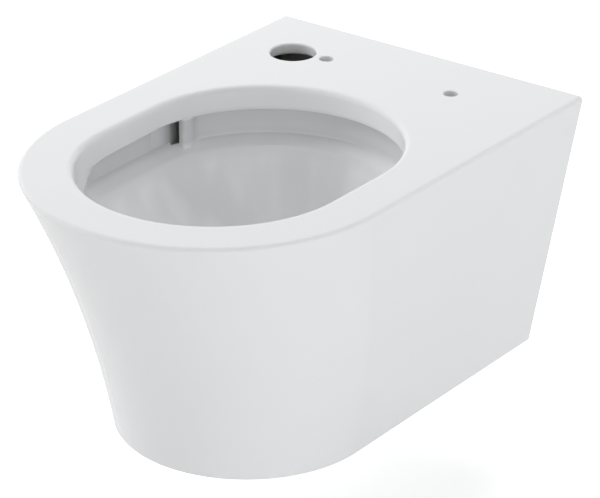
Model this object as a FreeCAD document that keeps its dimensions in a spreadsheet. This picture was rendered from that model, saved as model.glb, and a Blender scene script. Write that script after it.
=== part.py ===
import FreeCAD
import Part
import Sketcher
import math
import os

# Wall hung toilet pan and the fixings that hold it on its two wall studs.
# Millimetres. X runs to the right seen from the front, Y towards the wall, Z up.
# The origin lies on the finished wall, midway between the two wall studs.
# The pan stands out of the wall along -Y, so depths are stated as positive numbers.

DIMENSIONS = [
    # outside form of the pan
    ("pan_width", 375, "width of the deck"),
    ("pan_length", 540, "wall to the front of the deck"),
    ("pan_height", 289, "deck to base"),
    ("rim_height", 80, "deck above the wall studs"),
    ("base_width", 268, "width of the base"),
    ("base_length", 440, "wall to the front of the base"),
    ("front_hollow", 14, "how far the front bends in behind a straight line"),
    ("deck_edge_round", 4, "radius along the deck's outer edge"),
    ("base_edge_round", 3, "radius along the base's outer edge"),
    # thickness of the china
    ("skirt_wall", 12, "thickness of the skirt"),
    ("deck_wall", 13, "thickness of the deck"),
    ("floor_wall", 12, "thickness of the closed base"),
    ("bowl_wall", 13, "thickness of the bowl, measured level"),
    ("bowl_front_wall", 18, "the same at the bowl's shallow front"),
    ("rim_wall", 10, "thickness behind the groove"),
    ("rim_foot", 3, "china below the ledge"),
    ("trap_wall", 10, "thickness of the trapway"),
    # mouth of the bowl, lip, flush ledge
    ("rim_width", 52.5, "deck between the mouth and the outer edge"),
    ("mouth_back", 141, "wall to the back of the mouth"),
    ("mouth_round", 6, "radius along the mouth's edge"),
    ("lip_height", 24.5, "height of the smooth band under the deck"),
    ("lip_round", 2.5, "radius under the band"),
    ("groove_depth", 13, "how far the groove cuts in under the lip"),
    ("groove_floor", 53, "deck down to the foot of the groove"),
    ("ledge_drop", 10, "fall of the ledge from the groove to the bowl"),
    ("ledge_inset", 3, "how far the ledge reaches inside the mouth"),
    ("back_inset", 4, "groove depth that is left along the back"),
    ("back_start", 238, "wall to the face with the flush outlet"),
    ("back_end", 335, "wall to the point where the back wall runs out"),
    ("back_corner", 4, "radius on the corner beside the flush outlet"),
    ("back_sink", 4, "how far the back wall is sunk into the china behind it"),
    # bowl, from the ledge down to the sump
    ("bowl_drop_1", 52, "ledge to the first section"),
    ("bowl_drop_2", 107, "ledge to the second section"),
    ("bowl_drop_3", 157, "ledge to the third section"),
    ("bowl_half_1", 98, "half width of the first section"),
    ("bowl_half_2", 66, "half width of the second section"),
    ("bowl_half_3", 42, "half width of the third section"),
    ("bowl_front_1", 440, "wall to the front of the first section"),
    ("bowl_front_2", 372, "wall to the front of the second section"),
    ("bowl_front_3", 318, "wall to the front of the third section"),
    ("bowl_back_1", 160, "wall to the back of the first section"),
    ("bowl_back_2", 187, "wall to the back of the second section"),
    ("bowl_back_3", 197, "wall to the back of the third section"),
    ("sump_half", 29, "half width of the sump"),
    ("sump_step", 2, "sump below the trapway's lowest line"),
    ("sump_front", 274, "wall to the front of the sump"),
    ("sump_back", 205, "wall to the back of the sump"),
    # trapway
    ("trap_radius", 27, "bore of the trapway, as a radius"),
    ("trap_bend", 40, "bend radius of the trapway's middle line"),
    ("trap_entry", 8, "how far the trapway starts inside the sump"),
    ("horn_wall", 12, "thickness under the widening to the spigot"),
    ("trap_rise", 150, "wall to the rising leg"),
    ("trap_low", 241, "deck down to the middle of the low bend"),
    ("trap_crest", 138, "deck down to the middle of the crest"),
    ("outlet_drop", 100, "wall studs down to the waste outlet"),
    ("outlet_radius", 51, "outside of the waste spigot"),
    ("outlet_wall", 8, "thickness of the waste spigot"),
    ("outlet_length", 36, "length of the waste spigot"),
    ("spigot_recess", 48, "wall to the ends of spigot and inlet socket"),
    # flush water
    ("inlet_rise", 35, "wall studs up to the flush inlet"),
    ("inlet_radius", 27.5, "bore of the flush inlet"),
    ("inlet_wall", 9.5, "thickness of the inlet socket"),
    ("inlet_length", 42, "depth of the inlet socket"),
    ("inlet_throat", 13.5, "bore behind the inlet's shoulder"),
    ("channel_gap", 7, "china between the back wall and the channel"),
    ("channel_width", 12, "width of the flush channel"),
    ("channel_height", 27, "height of the flush channel"),
    ("channel_roof", 29, "deck down to the top of the flush channel"),
    ("channel_from", 78, "start of the channel round the mouth, in degrees"),
    ("channel_to", 166, "end of its wall, in degrees"),
    ("channel_over", 2, "how much further the channel itself runs, in degrees"),
    ("channel_closed", 8, "wall at the channel's closed end, in degrees"),
    # holes in the deck
    ("seat_spacing", 155, "between the two seat holes"),
    ("seat_depth", 72, "wall to the seat holes"),
    ("seat_radius", 6.5, "bore of the seat holes"),
    ("seat_round", 0.9, "bevel on the seat holes' edge"),
    ("seat_boss", 16, "outside of the boss under each seat hole"),
    ("bush_bore", 11, "counterbore for the bush"),
    ("bush_depth", 14, "depth of the counterbore"),
    ("hose_side", 116, "middle line to the hose port"),
    ("hose_depth", 78, "wall to the hose port"),
    ("hose_radius", 22.2, "bore of the hose port"),
    ("hose_round", 1.6, "bevel on the hose port's edge"),
    # china lugs that hang on the arms
    ("lug_height", 60, "height of the lug"),
    ("lug_wall", 12, "thickness of the lug"),
    ("lug_depth", 14, "wall to the lug"),
    ("rib_inner", 36, "middle line to the rib"),
    ("rib_wall", 12, "thickness of the rib"),
    ("rib_length", 136, "length of the rib"),
    ("cut_over", 1, "how far a cut or a joined piece runs past its face"),
    # wall stud and its arm
    ("stud_spacing", 180, "between the two wall studs"),
    ("stud_hole", 6.75, "hole for the wall stud in the arm"),
    ("arm_inner", 62, "middle line to the arm's inner side"),
    ("arm_width", 44, "width of the arm"),
    ("arm_height", 34, "height of the arm"),
    ("arm_length", 98, "length of the arm"),
    ("arm_block", 24, "length of the block at the wall"),
    ("arm_floor", 4, "thickness of the arm's floor"),
    ("arm_cheek", 3, "thickness of the arm's cheeks"),
    ("hook_reach", 86, "wall to the top of the ramp"),
    ("hook_height", 14, "top of the ramp above the stud"),
    ("cheek_drop", 1, "cheeks below the top of the ramp"),
    ("ramp_angle", 30, "ramp from the vertical, in degrees"),
    # liner between arm and lug
    ("liner_gap", 0.3, "clearance on each side of the liner"),
    ("liner_wall", 1.6, "thickness of the liner"),
    ("liner_flange", 3.5, "how far the flange stands out"),
    ("liner_sheet", 2.4, "thickness of the flange"),
    ("liner_length", 18, "length of the liner"),
    # washer and nut
    ("washer_radius", 12, "outside of the washer"),
    ("washer_hole", 6.5, "hole in the washer"),
    ("washer_thick", 2.5, "thickness of the washer"),
    ("nut_flats", 18, "nut across its flats"),
    ("nut_thick", 10.8, "thickness of the nut"),
    ("nut_thread", 5.1, "thread hole of the nut"),
    # bush and insert under the seat hole
    ("bush_gap", 0.3, "clearance of the bush in its counterbore"),
    ("bush_flange", 5.5, "thickness of the bush's flange"),
    ("bush_flats", 28, "flange across its flats"),
    ("insert_radius", 7.5, "outside of the insert"),
    ("insert_gap", 0.1, "clearance of the insert in the bush"),
    ("insert_flats", 18, "insert's collar across its flats"),
    ("insert_collar_thick", 2.3, "thickness of the insert's collar"),
    ("insert_length", 15, "length of the insert above its collar"),
    ("thread_gap", 0.05, "running clearance of the screw"),
    # screw, clip and foot
    ("screw_radius", 5, "outside of the screw"),
    ("screw_top", 14, "deck down to the top of the screw"),
    ("socket_flats", 5, "hex socket across its flats"),
    ("socket_depth", 6, "depth of the hex socket"),
    ("dog_radius", 4, "thin end of the screw"),
    ("dog_length", 14, "length of the thin end"),
    ("dog_gap", 0.06, "running clearance of the thin end"),
    ("clip_flats", 10.8, "clip across its flats"),
    ("clip_thick", 1.1, "thickness of the clip"),
    ("clip_gap", 0.05, "clearance of the clip round the thin end"),
    ("foot_width", 23, "width of the foot"),
    ("foot_depth", 24, "front to back of the foot"),
    ("foot_top", 22, "top of the foot above the stud"),
    ("foot_bottom", 8, "bottom of the foot below the stud"),
    ("foot_flange", 10, "thickness over the foot's pocket"),
    ("pocket_height", 10, "height of the foot's pocket"),
    ("pocket_width", 16, "width of the foot's pocket"),
    ("pocket_wall", 4, "china-side wall of the foot's pocket"),
    ("foot_gap", 0.3, "gap between foot and ramp, and under the flange"),
    ("shoulder_gap", 0.05, "gap between screw shoulder and foot"),
]

doc = FreeCAD.newDocument("toilet_pan")
sheet = doc.addObject("Spreadsheet::Sheet", "Sizes")
for row, (alias, value, meaning) in enumerate(DIMENSIONS, 1):
    sheet.set(f"A{row}", meaning)
    sheet.set(f"B{row}", str(value))
    sheet.setAlias(f"B{row}", alias)
doc.recompute()


def size(expression):
    """The present value of an expression of sheet sizes."""
    value = sheet.evalExpression(expression)
    return float(getattr(value, "Value", value))


def s(text):
    """Spell out each size named in braces, such as {pan_width}, for an expression."""
    for alias, _, _ in DIMENSIONS:
        text = text.replace("{" + alias + "}", "Sizes." + alias)
    return "(" + text + ")"


# ---------------------------------------------------------------------------
# sketches and features


def new_body(label):
    body = doc.addObject("PartDesign::Body", label)
    body.Label = label
    return body


def new_sketch(body, name, role, offset):
    """A sketch on an origin plane, moved along the plane's normal."""
    sketch = body.newObject("Sketcher::SketchObject", name)
    support = next(f for f in body.Origin.OriginFeatures if f.Role == role)
    sketch.AttachmentSupport = [(support, "")]
    sketch.MapMode = "FlatFace"
    sketch.setExpression("AttachmentOffset.Base.z", offset)
    return sketch


def bind(sketch, kind, *where):
    """Add a dimension whose last argument is an expression."""
    *refs, expression = where
    index = sketch.addConstraint(Sketcher.Constraint(kind, *refs, size(expression)))
    sketch.setExpression(f"Constraints[{index}]", expression)


def place(sketch, geo, pos, x, y):
    """Hold a point of the sketch at two expressions."""
    bind(sketch, "DistanceX", -1, 1, geo, pos, x)
    bind(sketch, "DistanceY", -1, 1, geo, pos, y)


def join(sketch, kind, *pairs):
    for a, pos_a, b, pos_b in pairs:
        sketch.addConstraint(Sketcher.Constraint(kind, a, pos_a, b, pos_b))


def line(x1, y1, x2, y2):
    return Part.LineSegment(FreeCAD.Vector(x1, y1, 0), FreeCAD.Vector(x2, y2, 0))


def arc(x, y, radius, start, end):
    """Anticlockwise arc between two angles in degrees."""
    circle = Part.Circle(FreeCAD.Vector(x, y, 0), FreeCAD.Vector(0, 0, 1), radius)
    return Part.ArcOfCircle(circle, math.radians(start), math.radians(end))


def polygon(sketch, corners):
    """Closed outline through corners given as pairs of expressions."""
    points = [(size(x), size(y)) for x, y in corners]
    count = len(points)
    first = sketch.GeometryCount
    for i in range(count):
        sketch.addGeometry(line(*points[i], *points[(i + 1) % count]))
    for i in range(count):
        join(sketch, "Coincident", (first + i, 2, first + (i + 1) % count, 1))
        place(sketch, first + i, 1, *corners[i])


def open_path(sketch, corners):
    """Straight runs from corner to corner, each given as a pair of expressions."""
    points = [(size(x), size(y)) for x, y in corners]
    for here, there in zip(points, points[1:]):
        sketch.addGeometry(line(*here, *there))
    for i in range(1, len(points) - 1):
        join(sketch, "Coincident", (i - 1, 2, i, 1))
    for i, corner in enumerate(corners[:-1]):
        place(sketch, i, 1, *corner)
    place(sketch, len(corners) - 2, 2, *corners[-1])


def rectangle(sketch, x1, y1, x2, y2):
    polygon(sketch, [(x1, y1), (x2, y1), (x2, y2), (x1, y2)])


def disc(sketch, x, y, radius):
    """Circle with its centre and radius given as expressions."""
    centre = FreeCAD.Vector(size(x), size(y), 0)
    geo = sketch.addGeometry(
        Part.Circle(centre, FreeCAD.Vector(0, 0, 1), size(radius))
    )
    place(sketch, geo, 3, x, y)
    bind(sketch, "Radius", geo, radius)


def stadium(sketch, half, front, back):
    """Outline with parallel sides and half round ends; front and back are wall distances."""
    r, far, near = size(half), size(front), size(back)
    sketch.addGeometry(arc(0, -far + r, r, 180, 360))
    sketch.addGeometry(line(r, -far + r, r, -near - r))
    sketch.addGeometry(arc(0, -near - r, r, 0, 180))
    sketch.addGeometry(line(-r, -near - r, -r, -far + r))
    for i in range(4):
        join(sketch, "Tangent", (i, 2, (i + 1) % 4, 1))
    place(sketch, 0, 3, "0", f"{half} - {front}")
    place(sketch, 2, 3, "0", f"-{back} - {half}")
    bind(sketch, "Radius", 0, half)
    bind(sketch, "Radius", 2, half)


def d_outline(sketch, half, front, back):
    """Outline with parallel sides, a half round front and a straight back."""
    r, far, near = size(half), size(front), size(back)
    sketch.addGeometry(arc(0, -far + r, r, 180, 360))
    sketch.addGeometry(line(r, -far + r, r, -near))
    sketch.addGeometry(line(r, -near, -r, -near))
    sketch.addGeometry(line(-r, -near, -r, -far + r))
    join(sketch, "Tangent", (0, 2, 1, 1), (3, 2, 0, 1))
    join(sketch, "Coincident", (1, 2, 2, 1), (2, 2, 3, 1))
    place(sketch, 0, 3, "0", f"{half} - {front}")
    bind(sketch, "Radius", 0, half)
    sketch.addConstraint(Sketcher.Constraint("Horizontal", 2))
    sketch.addConstraint(Sketcher.Constraint("Vertical", 1))
    sketch.addConstraint(Sketcher.Constraint("Vertical", 3))
    bind(sketch, "DistanceY", -1, 1, 2, 1, f"-{back}")


def prism(body, kind, name, sketch, length, reverse=False):
    """A Pad or Pocket of a stated length."""
    feature = body.newObject("PartDesign::" + kind, name)
    feature.Profile = sketch
    feature.setExpression("Length", length)
    feature.Reversed = reverse
    return feature


def loft(body, kind, name, sketches, ruled=False):
    """An AdditiveLoft or SubtractiveLoft through sketches."""
    feature = body.newObject("PartDesign::" + kind, name)
    feature.Profile = sketches[0]
    feature.Sections = [(sketch, [""]) for sketch in sketches[1:]]
    feature.Ruled = ruled
    return feature


def mitred_pipe(body, kind, name, profile, spine):
    """An AdditivePipe or SubtractivePipe along straight runs."""
    feature = body.newObject("PartDesign::" + kind, name)
    feature.Profile = profile
    feature.Spine = (spine, [""])
    feature.Transition = "Right corner"
    return feature


def chamfer(body, name, width, wanted):
    """Bevel the edges of the body's present shape for which wanted(edge) holds."""
    doc.recompute()
    base = body.Tip
    names = [f"Edge{i}" for i, edge in enumerate(base.Shape.Edges, 1) if wanted(edge)]
    if not names:
        raise ValueError(f"{name}: no edge to bevel")
    feature = body.newObject("PartDesign::Chamfer", name)
    feature.Base = (base, names)
    feature.setExpression("Size", width)
    return feature


NEAR = 0.01


def level(edge, axis, value):
    """True when the whole edge lies on one plane square to an axis."""
    box = edge.BoundBox
    low, high = getattr(box, axis + "Min"), getattr(box, axis + "Max")
    return abs(low - value) < NEAR and abs(high - value) < NEAR


# ---------------------------------------------------------------------------
# outside form: every level of the skirt is a D whose sides draw in evenly and
# whose front follows a hollow curve, with a round along the deck and the base


def level_at(share):
    fall = "({pan_height} - {deck_edge_round} - {base_edge_round})"
    return s(f"{{rim_height}} - {{deck_edge_round}} - {fall} * {share}")


def share_of(height):
    fall = "({pan_height} - {deck_edge_round} - {base_edge_round})"
    return s(f"({{rim_height}} - {{deck_edge_round}} - ({height})) / {fall}")


def half_at(share):
    return s(f"({{pan_width}} - ({{pan_width}} - {{base_width}}) * {share}) / 2")


def front_at(share):
    straight = f"{{pan_length}} - ({{pan_length}} - {{base_length}}) * {share}"
    return s(f"{straight} - 4 * {{front_hollow}} * {share} * (1 - {share})")


SKIRT_STEPS = 8
SKIRT_SHARES = [step / SKIRT_STEPS for step in range(SKIRT_STEPS + 1)]
ROUND_TURNS = (30, 60, 90)
BASE = s("{rim_height} - {pan_height}")
FLOOR = s("{rim_height} - {pan_height} + {floor_wall}")
UNDER_DECK = s("{rim_height} - {deck_wall}")
LEDGE = s("{rim_height} - {groove_floor} - {ledge_drop}")
GROOVE = s("{rim_height} - {groove_floor}")
LIP = s("{rim_height} - {lip_height}")
MOUTH = s("{pan_width} / 2 - {rim_width}")
MOUTH_FRONT = s("{pan_length} - {rim_width}")
GROOVE_HALF = s(f"{MOUTH} + {{groove_depth}}")
GROOVE_FRONT = s(f"{MOUTH_FRONT} + {{groove_depth}}")
GROOVE_BACK = s("{mouth_back} - {groove_depth}")


def skirt_section(body, name, height, share, inset):
    outline = new_sketch(body, name, "XY_Plane", height)
    d_outline(outline, s(f"{half_at(share)} - {inset}"), s(f"{front_at(share)} - {inset}"),
              s("-{cut_over}"))
    return outline


def round_step(radius, turn):
    """Drop and inset of a quarter round after a turn in degrees, from its flat side."""
    return s(f"{radius} * (1 - sin({turn}))"), s(f"{radius} * (1 - cos({turn}))")


pan = new_body("china")
skin = []
for turn in reversed(ROUND_TURNS):
    drop, inset = round_step("{deck_edge_round}", turn)
    skin.append(skirt_section(pan, f"deck_edge_{turn}", s(f"{{rim_height}} - {drop}"), "0", inset))
for number, share in enumerate(SKIRT_SHARES):
    skin.append(skirt_section(pan, f"skin_{number}", level_at(share), share, "0"))
for turn in ROUND_TURNS:
    drop, inset = round_step("{base_edge_round}", turn)
    skin.append(skirt_section(pan, f"base_edge_{turn}", s(f"{BASE} + {drop}"), "1", inset))
loft(pan, "AdditiveLoft", "skin", skin, ruled=True)
wall_face = new_sketch(pan, "wall_face_plan", "XZ_Plane", "0")
rectangle(wall_face, s("-{pan_width} / 2 - {cut_over}"), s(f"{BASE} - {{cut_over}}"),
          s("{pan_width} / 2 + {cut_over}"), s("{rim_height} + {cut_over}"))
prism(pan, "Pocket", "wall_face", wall_face, s("2 * {cut_over}"))

# ---------------------------------------------------------------------------
# the hollow inside the skirt is a body of its own: it starts as the whole inside
# of the skirt, and whatever is taken from it stays behind as china


def inside_of_skirt(body, kind):
    inside = []
    for number, part_way in enumerate(SKIRT_SHARES):
        height = s(f"{UNDER_DECK} + ({FLOOR} - {UNDER_DECK}) * {part_way}")
        share = share_of(height)
        outline = new_sketch(body, f"{body.Label}_inside_{number}", "XY_Plane", height)
        d_outline(outline, s(f"{half_at(share)} - {{skirt_wall}}"),
                  s(f"{front_at(share)} - {{skirt_wall}}"), s("-{cut_over}"))
        inside.append(outline)
    loft(body, kind, f"{body.Label}_inside", inside, ruled=True)


cavity = new_body("cavity")
inside_of_skirt(cavity, "AdditiveLoft")

BOWL = [
    (LEDGE, s(f"{MOUTH} - {{ledge_inset}}"), s(f"{MOUTH_FRONT} - {{ledge_inset}}"),
     s("{mouth_back} + {ledge_inset}")),
    *((s(f"{LEDGE} - {{bowl_drop_{i}}}"), s(f"{{bowl_half_{i}}}"),
       s(f"{{bowl_front_{i}}}"), s(f"{{bowl_back_{i}}}")) for i in (1, 2, 3)),
    (s("{rim_height} - {trap_low} - {trap_radius} - {sump_step}"), s("{sump_half}"),
     s("{sump_front}"), s("{sump_back}")),
]

RIM_LOW = s(f"{LEDGE} - {{rim_foot}}")


def rim_backing(body, kind, length):
    """China round the groove."""
    outline = new_sketch(body, f"{body.Label}_rim_plan", "XY_Plane", RIM_LOW)
    stadium(outline, s(f"{GROOVE_HALF} + {{rim_wall}}"), s(f"{GROOVE_FRONT} + {{rim_wall}}"),
            s(f"{GROOVE_BACK} - {{rim_wall}}"))
    prism(body, kind, f"{body.Label}_rim", outline, length, reverse=kind == "Pocket")


rim_backing(cavity, "Pocket", s(f"{UNDER_DECK} - {RIM_LOW} + {{cut_over}}"))

# flat sided china under the bowl, one tapered block for each band of the bowl
SHELL = [
    (RIM_LOW, s(f"{GROOVE_HALF} + {{rim_wall}}"),
     s(f"{GROOVE_FRONT} + {{rim_wall}}"), s(f"{GROOVE_BACK} - {{rim_wall}}")),
    *((height, s(f"{half} + {{bowl_wall}}"), s(f"{front} + {{bowl_front_wall}}"),
       s(f"{back} - {{bowl_wall}}")) for height, half, front, back in BOWL[1:-1]),
    (s(f"{FLOOR} - {{cut_over}}"), *(s(f"{size_now} + {wall}") for size_now, wall in (
        (BOWL[-1][1], "{bowl_wall}"), (BOWL[-1][2], "{bowl_front_wall}"),
        (BOWL[-1][3], "-{bowl_wall}")))),
]


def bowl_blocks(body, kind):
    for number, (upper, lower) in enumerate(zip(SHELL, SHELL[1:])):
        wedge = body.newObject("PartDesign::" + kind, f"{body.Label}_block_{number}")
        wedge.Placement = FreeCAD.Placement(
            FreeCAD.Vector(0, 0, 0), FreeCAD.Rotation(FreeCAD.Vector(1, 0, 0), 90))
        for prefix, (_, half, front, back) in (("", lower), ("2", upper)):
            wedge.setExpression(f"X{prefix}max", half)
            wedge.setExpression(f"X{prefix}min", s(f"-{half}"))
            wedge.setExpression(f"Z{prefix}max", front)
            wedge.setExpression(f"Z{prefix}min", back)
        wedge.setExpression("Ymin", lower[0])
        wedge.setExpression("Ymax", upper[0])


bowl_blocks(cavity, "SubtractiveWedge")

LOW = s("{rim_height} - {trap_low}")
CREST = s("{rim_height} - {trap_crest}")
TRAP_START = s("-{sump_back} - {trap_radius} - {trap_entry}")
RISE = s("-{trap_rise}")
CREST_END = s("-{trap_rise} + {trap_bend}")
OUTLET = s("-{outlet_drop}")
OUTLET_END = s("{spigot_recess}")
OUTLET_ROOT = s("{spigot_recess} + {outlet_length}")
OUTLET_BORE = s("{outlet_radius} - {outlet_wall}")
INLET = s("{inlet_rise}")
INLET_ROOT = s("{spigot_recess} + {inlet_length}")
MOUTH_MIDDLE = s(f"{{mouth_back}} + {MOUTH}")
BACK_RADIUS = s(f"{MOUTH} + {{back_inset}}")
CHANNEL_INNER = s(f"{BACK_RADIUS} + {{channel_gap}}")
CHANNEL_OUTER = s(f"{CHANNEL_INNER} + {{channel_width}}")
CHANNEL_LOW = s("{rim_height} - {channel_roof} - {channel_height}")
CHANNEL_BACK = s(f"{MOUTH_MIDDLE} - {CHANNEL_OUTER}")


def round_section(body, name, depth, height, radius):
    ring = new_sketch(body, name, "XZ_Plane", depth)
    disc(ring, "0", height, radius)
    return ring


def side_block(body, kind, name, half_width, corners):
    """Flat sided china with a stated side view, set evenly about the middle line."""
    outline = new_sketch(body, f"{name}_side", "YZ_Plane", s(f"-{half_width}"))
    polygon(outline, corners)
    prism(body, kind, name, outline, s(f"2 * {half_width}"), reverse=kind == "Pocket")


# casing of the trapway: up from the sump, over the crest, down into the spigot,
# with its two bends cut across at 45 degrees
CASE = "({trap_radius} + {trap_wall})"
CORNER = f"({{trap_bend}} + {CASE}) * tan(22.5)"
TRAP_SIDE = [
    (TRAP_START, s(f"{LOW} - {CASE}")),
    (s(f"{RISE} - {{trap_bend}} + {CORNER}"), s(f"{LOW} - {CASE}")),
    (s(f"{RISE} + {CASE}"), s(f"{LOW} + {{trap_bend}} - {CORNER}")),
    (s(f"{RISE} + {CASE}"), s(f"{CREST} - {CASE}")),
    (CREST_END, s(f"{CREST} - {CASE}")),
    (CREST_END, s(f"{CREST} + {CASE}")),
    (s(f"{RISE} + {{trap_bend}} - {CORNER}"), s(f"{CREST} + {CASE}")),
    (s(f"{RISE} - {CASE}"), s(f"{CREST} - {{trap_bend}} + {CORNER}")),
    (s(f"{RISE} - {CASE}"), s(f"{LOW} + {CASE}")),
    (TRAP_START, s(f"{LOW} + {CASE}"))]
HORN_SIDE = [
    (s(f"{CREST_END} - {{horn_wall}}"), s(f"{CREST} + {CASE}")),
    (CREST_END, s(f"{CREST} + {CASE}")),
    (s(f"-{OUTLET_ROOT}"), s(f"{OUTLET} + {{outlet_radius}}")),
    (s(f"-{OUTLET_ROOT}"), s(f"{OUTLET} - {{outlet_radius}}")),
    (s(f"-{OUTLET_ROOT} - {{horn_wall}}"), s(f"{OUTLET} - {{outlet_radius}}")),
    (s(f"{CREST_END} - {{horn_wall}}"), s(f"{CREST} - {CASE}"))]


def trap_casing(body, kind):
    side_block(body, kind, f"{body.Label}_trap", CASE, TRAP_SIDE)
    side_block(body, kind, f"{body.Label}_horn", "{outlet_radius}", HORN_SIDE)
    ring = round_section(body, f"{body.Label}_spigot_ring", OUTLET_END, OUTLET, s("{outlet_radius}"))
    prism(body, kind, f"{body.Label}_spigot", ring, s("{outlet_length} + {cut_over}"),
          reverse=kind == "Pocket")


trap_casing(cavity, "Pocket")


def ring_sector(sketch, inner, outer, start, end):
    """Part of a flat ring about the middle of the mouth's round back."""
    centre, r1, r2, a, b = (size(e) for e in (s(f"-{MOUTH_MIDDLE}"), inner, outer, start, end))
    cos_a, sin_a = math.cos(math.radians(a)), math.sin(math.radians(a))
    cos_b, sin_b = math.cos(math.radians(b)), math.sin(math.radians(b))
    sketch.addGeometry(arc(0, centre, r2, a, b))
    sketch.addGeometry(line(r2 * cos_b, centre + r2 * sin_b, r1 * cos_b, centre + r1 * sin_b))
    sketch.addGeometry(arc(0, centre, r1, a, b))
    sketch.addGeometry(line(r1 * cos_a, centre + r1 * sin_a, r2 * cos_a, centre + r2 * sin_a))
    join(sketch, "Coincident", (0, 2, 1, 1), (1, 2, 2, 2), (2, 1, 3, 1), (3, 2, 0, 1))
    for geo, radius in ((0, outer), (2, inner)):
        place(sketch, geo, 3, "0", s(f"-{MOUTH_MIDDLE}"))
        bind(sketch, "Radius", geo, radius)
        bind(sketch, "DistanceX", -1, 1, geo, 1, s(f"{radius} * cos({start})"))
        bind(sketch, "DistanceX", -1, 1, geo, 2, s(f"{radius} * cos({end})"))


def flush_casing(body, kind, inner, length):
    """China round the flush channel and the inlet."""
    outline = new_sketch(body, f"{body.Label}_channel_plan", "XY_Plane", RIM_LOW)
    ring_sector(outline, inner, s(f"{CHANNEL_OUTER} + {{inlet_wall}}"),
                s("{channel_from} - {channel_closed}"), s("{channel_to}"))
    prism(body, kind, f"{body.Label}_channel", outline, length, reverse=kind == "Pocket")
    ring = round_section(body, f"{body.Label}_inlet_ring", OUTLET_END, INLET,
                         s("{inlet_radius} + {inlet_wall}"))
    prism(body, kind, f"{body.Label}_inlet", ring,
          s(f"{CHANNEL_BACK} - {{spigot_recess}} + {{channel_width}}"), reverse=kind == "Pocket")


flush_casing(cavity, "Pocket", CHANNEL_INNER, s(f"{UNDER_DECK} - {RIM_LOW} + {{cut_over}}"))

# ribs under the deck, lugs that hang on the arms, bosses under the seat holes
for side, name in ((1, "right"), (-1, "left")):
    rib = new_sketch(cavity, f"rib_{name}_plan", "XZ_Plane", s("{lug_depth}"))
    rectangle(rib, s(f"{side} * {{rib_inner}}"), s("-{lug_height} / 2"),
              s(f"{side} * ({{rib_inner}} + {{rib_wall}})"), s("{rim_height}"))
    prism(cavity, "Pocket", f"rib_{name}", rib, s("{rib_length}"), reverse=True)
    lug = new_sketch(cavity, f"lug_{name}_plan", "XZ_Plane", s("{lug_depth}"))
    rectangle(lug, s(f"{side} * {{rib_inner}}"), s("-{lug_height} / 2"),
              s(f"{side} * {{pan_width}} / 2"), s("{lug_height} / 2"))
    prism(cavity, "Pocket", f"lug_{name}", lug, s("{lug_wall}"), reverse=True)


def seat_bosses(body, kind, length):
    for side, name in ((1, "right"), (-1, "left")):
        boss = new_sketch(body, f"{body.Label}_boss_{name}_plan", "XY_Plane",
                          s(f"{UNDER_DECK} - {{bush_depth}}"))
        disc(boss, s(f"{side} * {{seat_spacing}} / 2"), s("-{seat_depth}"), s("{seat_boss}"))
        prism(body, kind, f"{body.Label}_boss_{name}", boss, length, reverse=kind == "Pocket")


seat_bosses(cavity, "Pocket", s("{bush_depth} + {cut_over}"))
doc.recompute()

hollow = pan.newObject("PartDesign::Boolean", "hollow")
hollow.setObjects([cavity])
hollow.Type = "Cut"
doc.recompute()

# ---------------------------------------------------------------------------
# the water side: mouth, groove under the lip, ledge, bowl and trapway


def water_outline(name, height, half, front, back):
    outline = new_sketch(pan, name, "XY_Plane", height)
    stadium(outline, half, front, back)
    return outline


def mouth_outline(name, height, growth):
    return water_outline(name, height, s(f"{MOUTH} + {growth}"), s(f"{MOUTH_FRONT} + {growth}"),
                         s(f"{{mouth_back}} - {growth}"))


mouth = []
for turn in reversed(ROUND_TURNS):
    drop, growth = round_step("{lip_round}", turn)
    mouth.append(mouth_outline(f"lip_edge_{turn}", s(f"{LIP} + {drop}"), growth))
mouth.append(mouth_outline("mouth_low", s(f"{LIP} + {{lip_round}}"), "0"))
mouth.append(mouth_outline("mouth_high", s("{rim_height} - {mouth_round}"), "0"))
for turn in ROUND_TURNS:
    drop, growth = round_step("{mouth_round}", turn)
    mouth.append(mouth_outline(f"mouth_edge_{turn}", s(f"{{rim_height}} - {drop}"), growth))
loft(pan, "SubtractiveLoft", "mouth", mouth, ruled=True)
prism(pan, "Pocket", "groove",
      water_outline("groove_plan", GROOVE, GROOVE_HALF, GROOVE_FRONT, GROOVE_BACK),
      s("{groove_floor} - {lip_height}"), reverse=True)
loft(pan, "SubtractiveLoft", "ledge", [
    water_outline("ledge_high", GROOVE, GROOVE_HALF, GROOVE_FRONT, GROOVE_BACK),
    water_outline("ledge_low", *BOWL[0])], ruled=True)


def between(values, part_way):
    """Smooth curve through the five bowl sections, at 0 for the ledge to 4 for the sump."""
    knot = min(int(part_way), len(values) - 2)
    t = part_way - knot
    before = values[knot - 1] if knot else f"(2 * {values[0]} - {values[1]})"
    here, there = values[knot], values[knot + 1]
    last = len(values) - 1
    after = values[knot + 2] if knot + 2 <= last else f"(2 * {values[last]} - {values[last - 1]})"
    weights = ((-t + 2 * t ** 2 - t ** 3) / 2, (2 - 5 * t ** 2 + 3 * t ** 3) / 2,
               (t + 4 * t ** 2 - 3 * t ** 3) / 2, (-t ** 2 + t ** 3) / 2)
    terms = zip(weights, (before, here, there, after))
    return s(" + ".join(f"({weight:.9f}) * {value}" for weight, value in terms if weight))


bowl = []
for step in range(2 * len(BOWL) - 1):
    section = [between(column, step / 2) for column in zip(*BOWL)]
    bowl.append(water_outline(f"bowl_{step}", *section))
loft(pan, "SubtractiveLoft", "bowl_hollow", bowl, ruled=True)

# the trapway's bends are mitred in steps; the angles are those of the corners about each centre
MITRE = 30
UPWARD_BEND = (285, 315, 345)
OVER_BEND = (165, 135, 105)


def bend_corners(y, z, turns):
    """Corners of a mitred bend about a centre, a little outside its middle line."""
    reach = f"{{trap_bend}} / cos({MITRE} / 2)"
    return [(s(f"{y} + {reach} * cos({turn})"), s(f"{z} + {reach} * sin({turn})")) for turn in turns]


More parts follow.
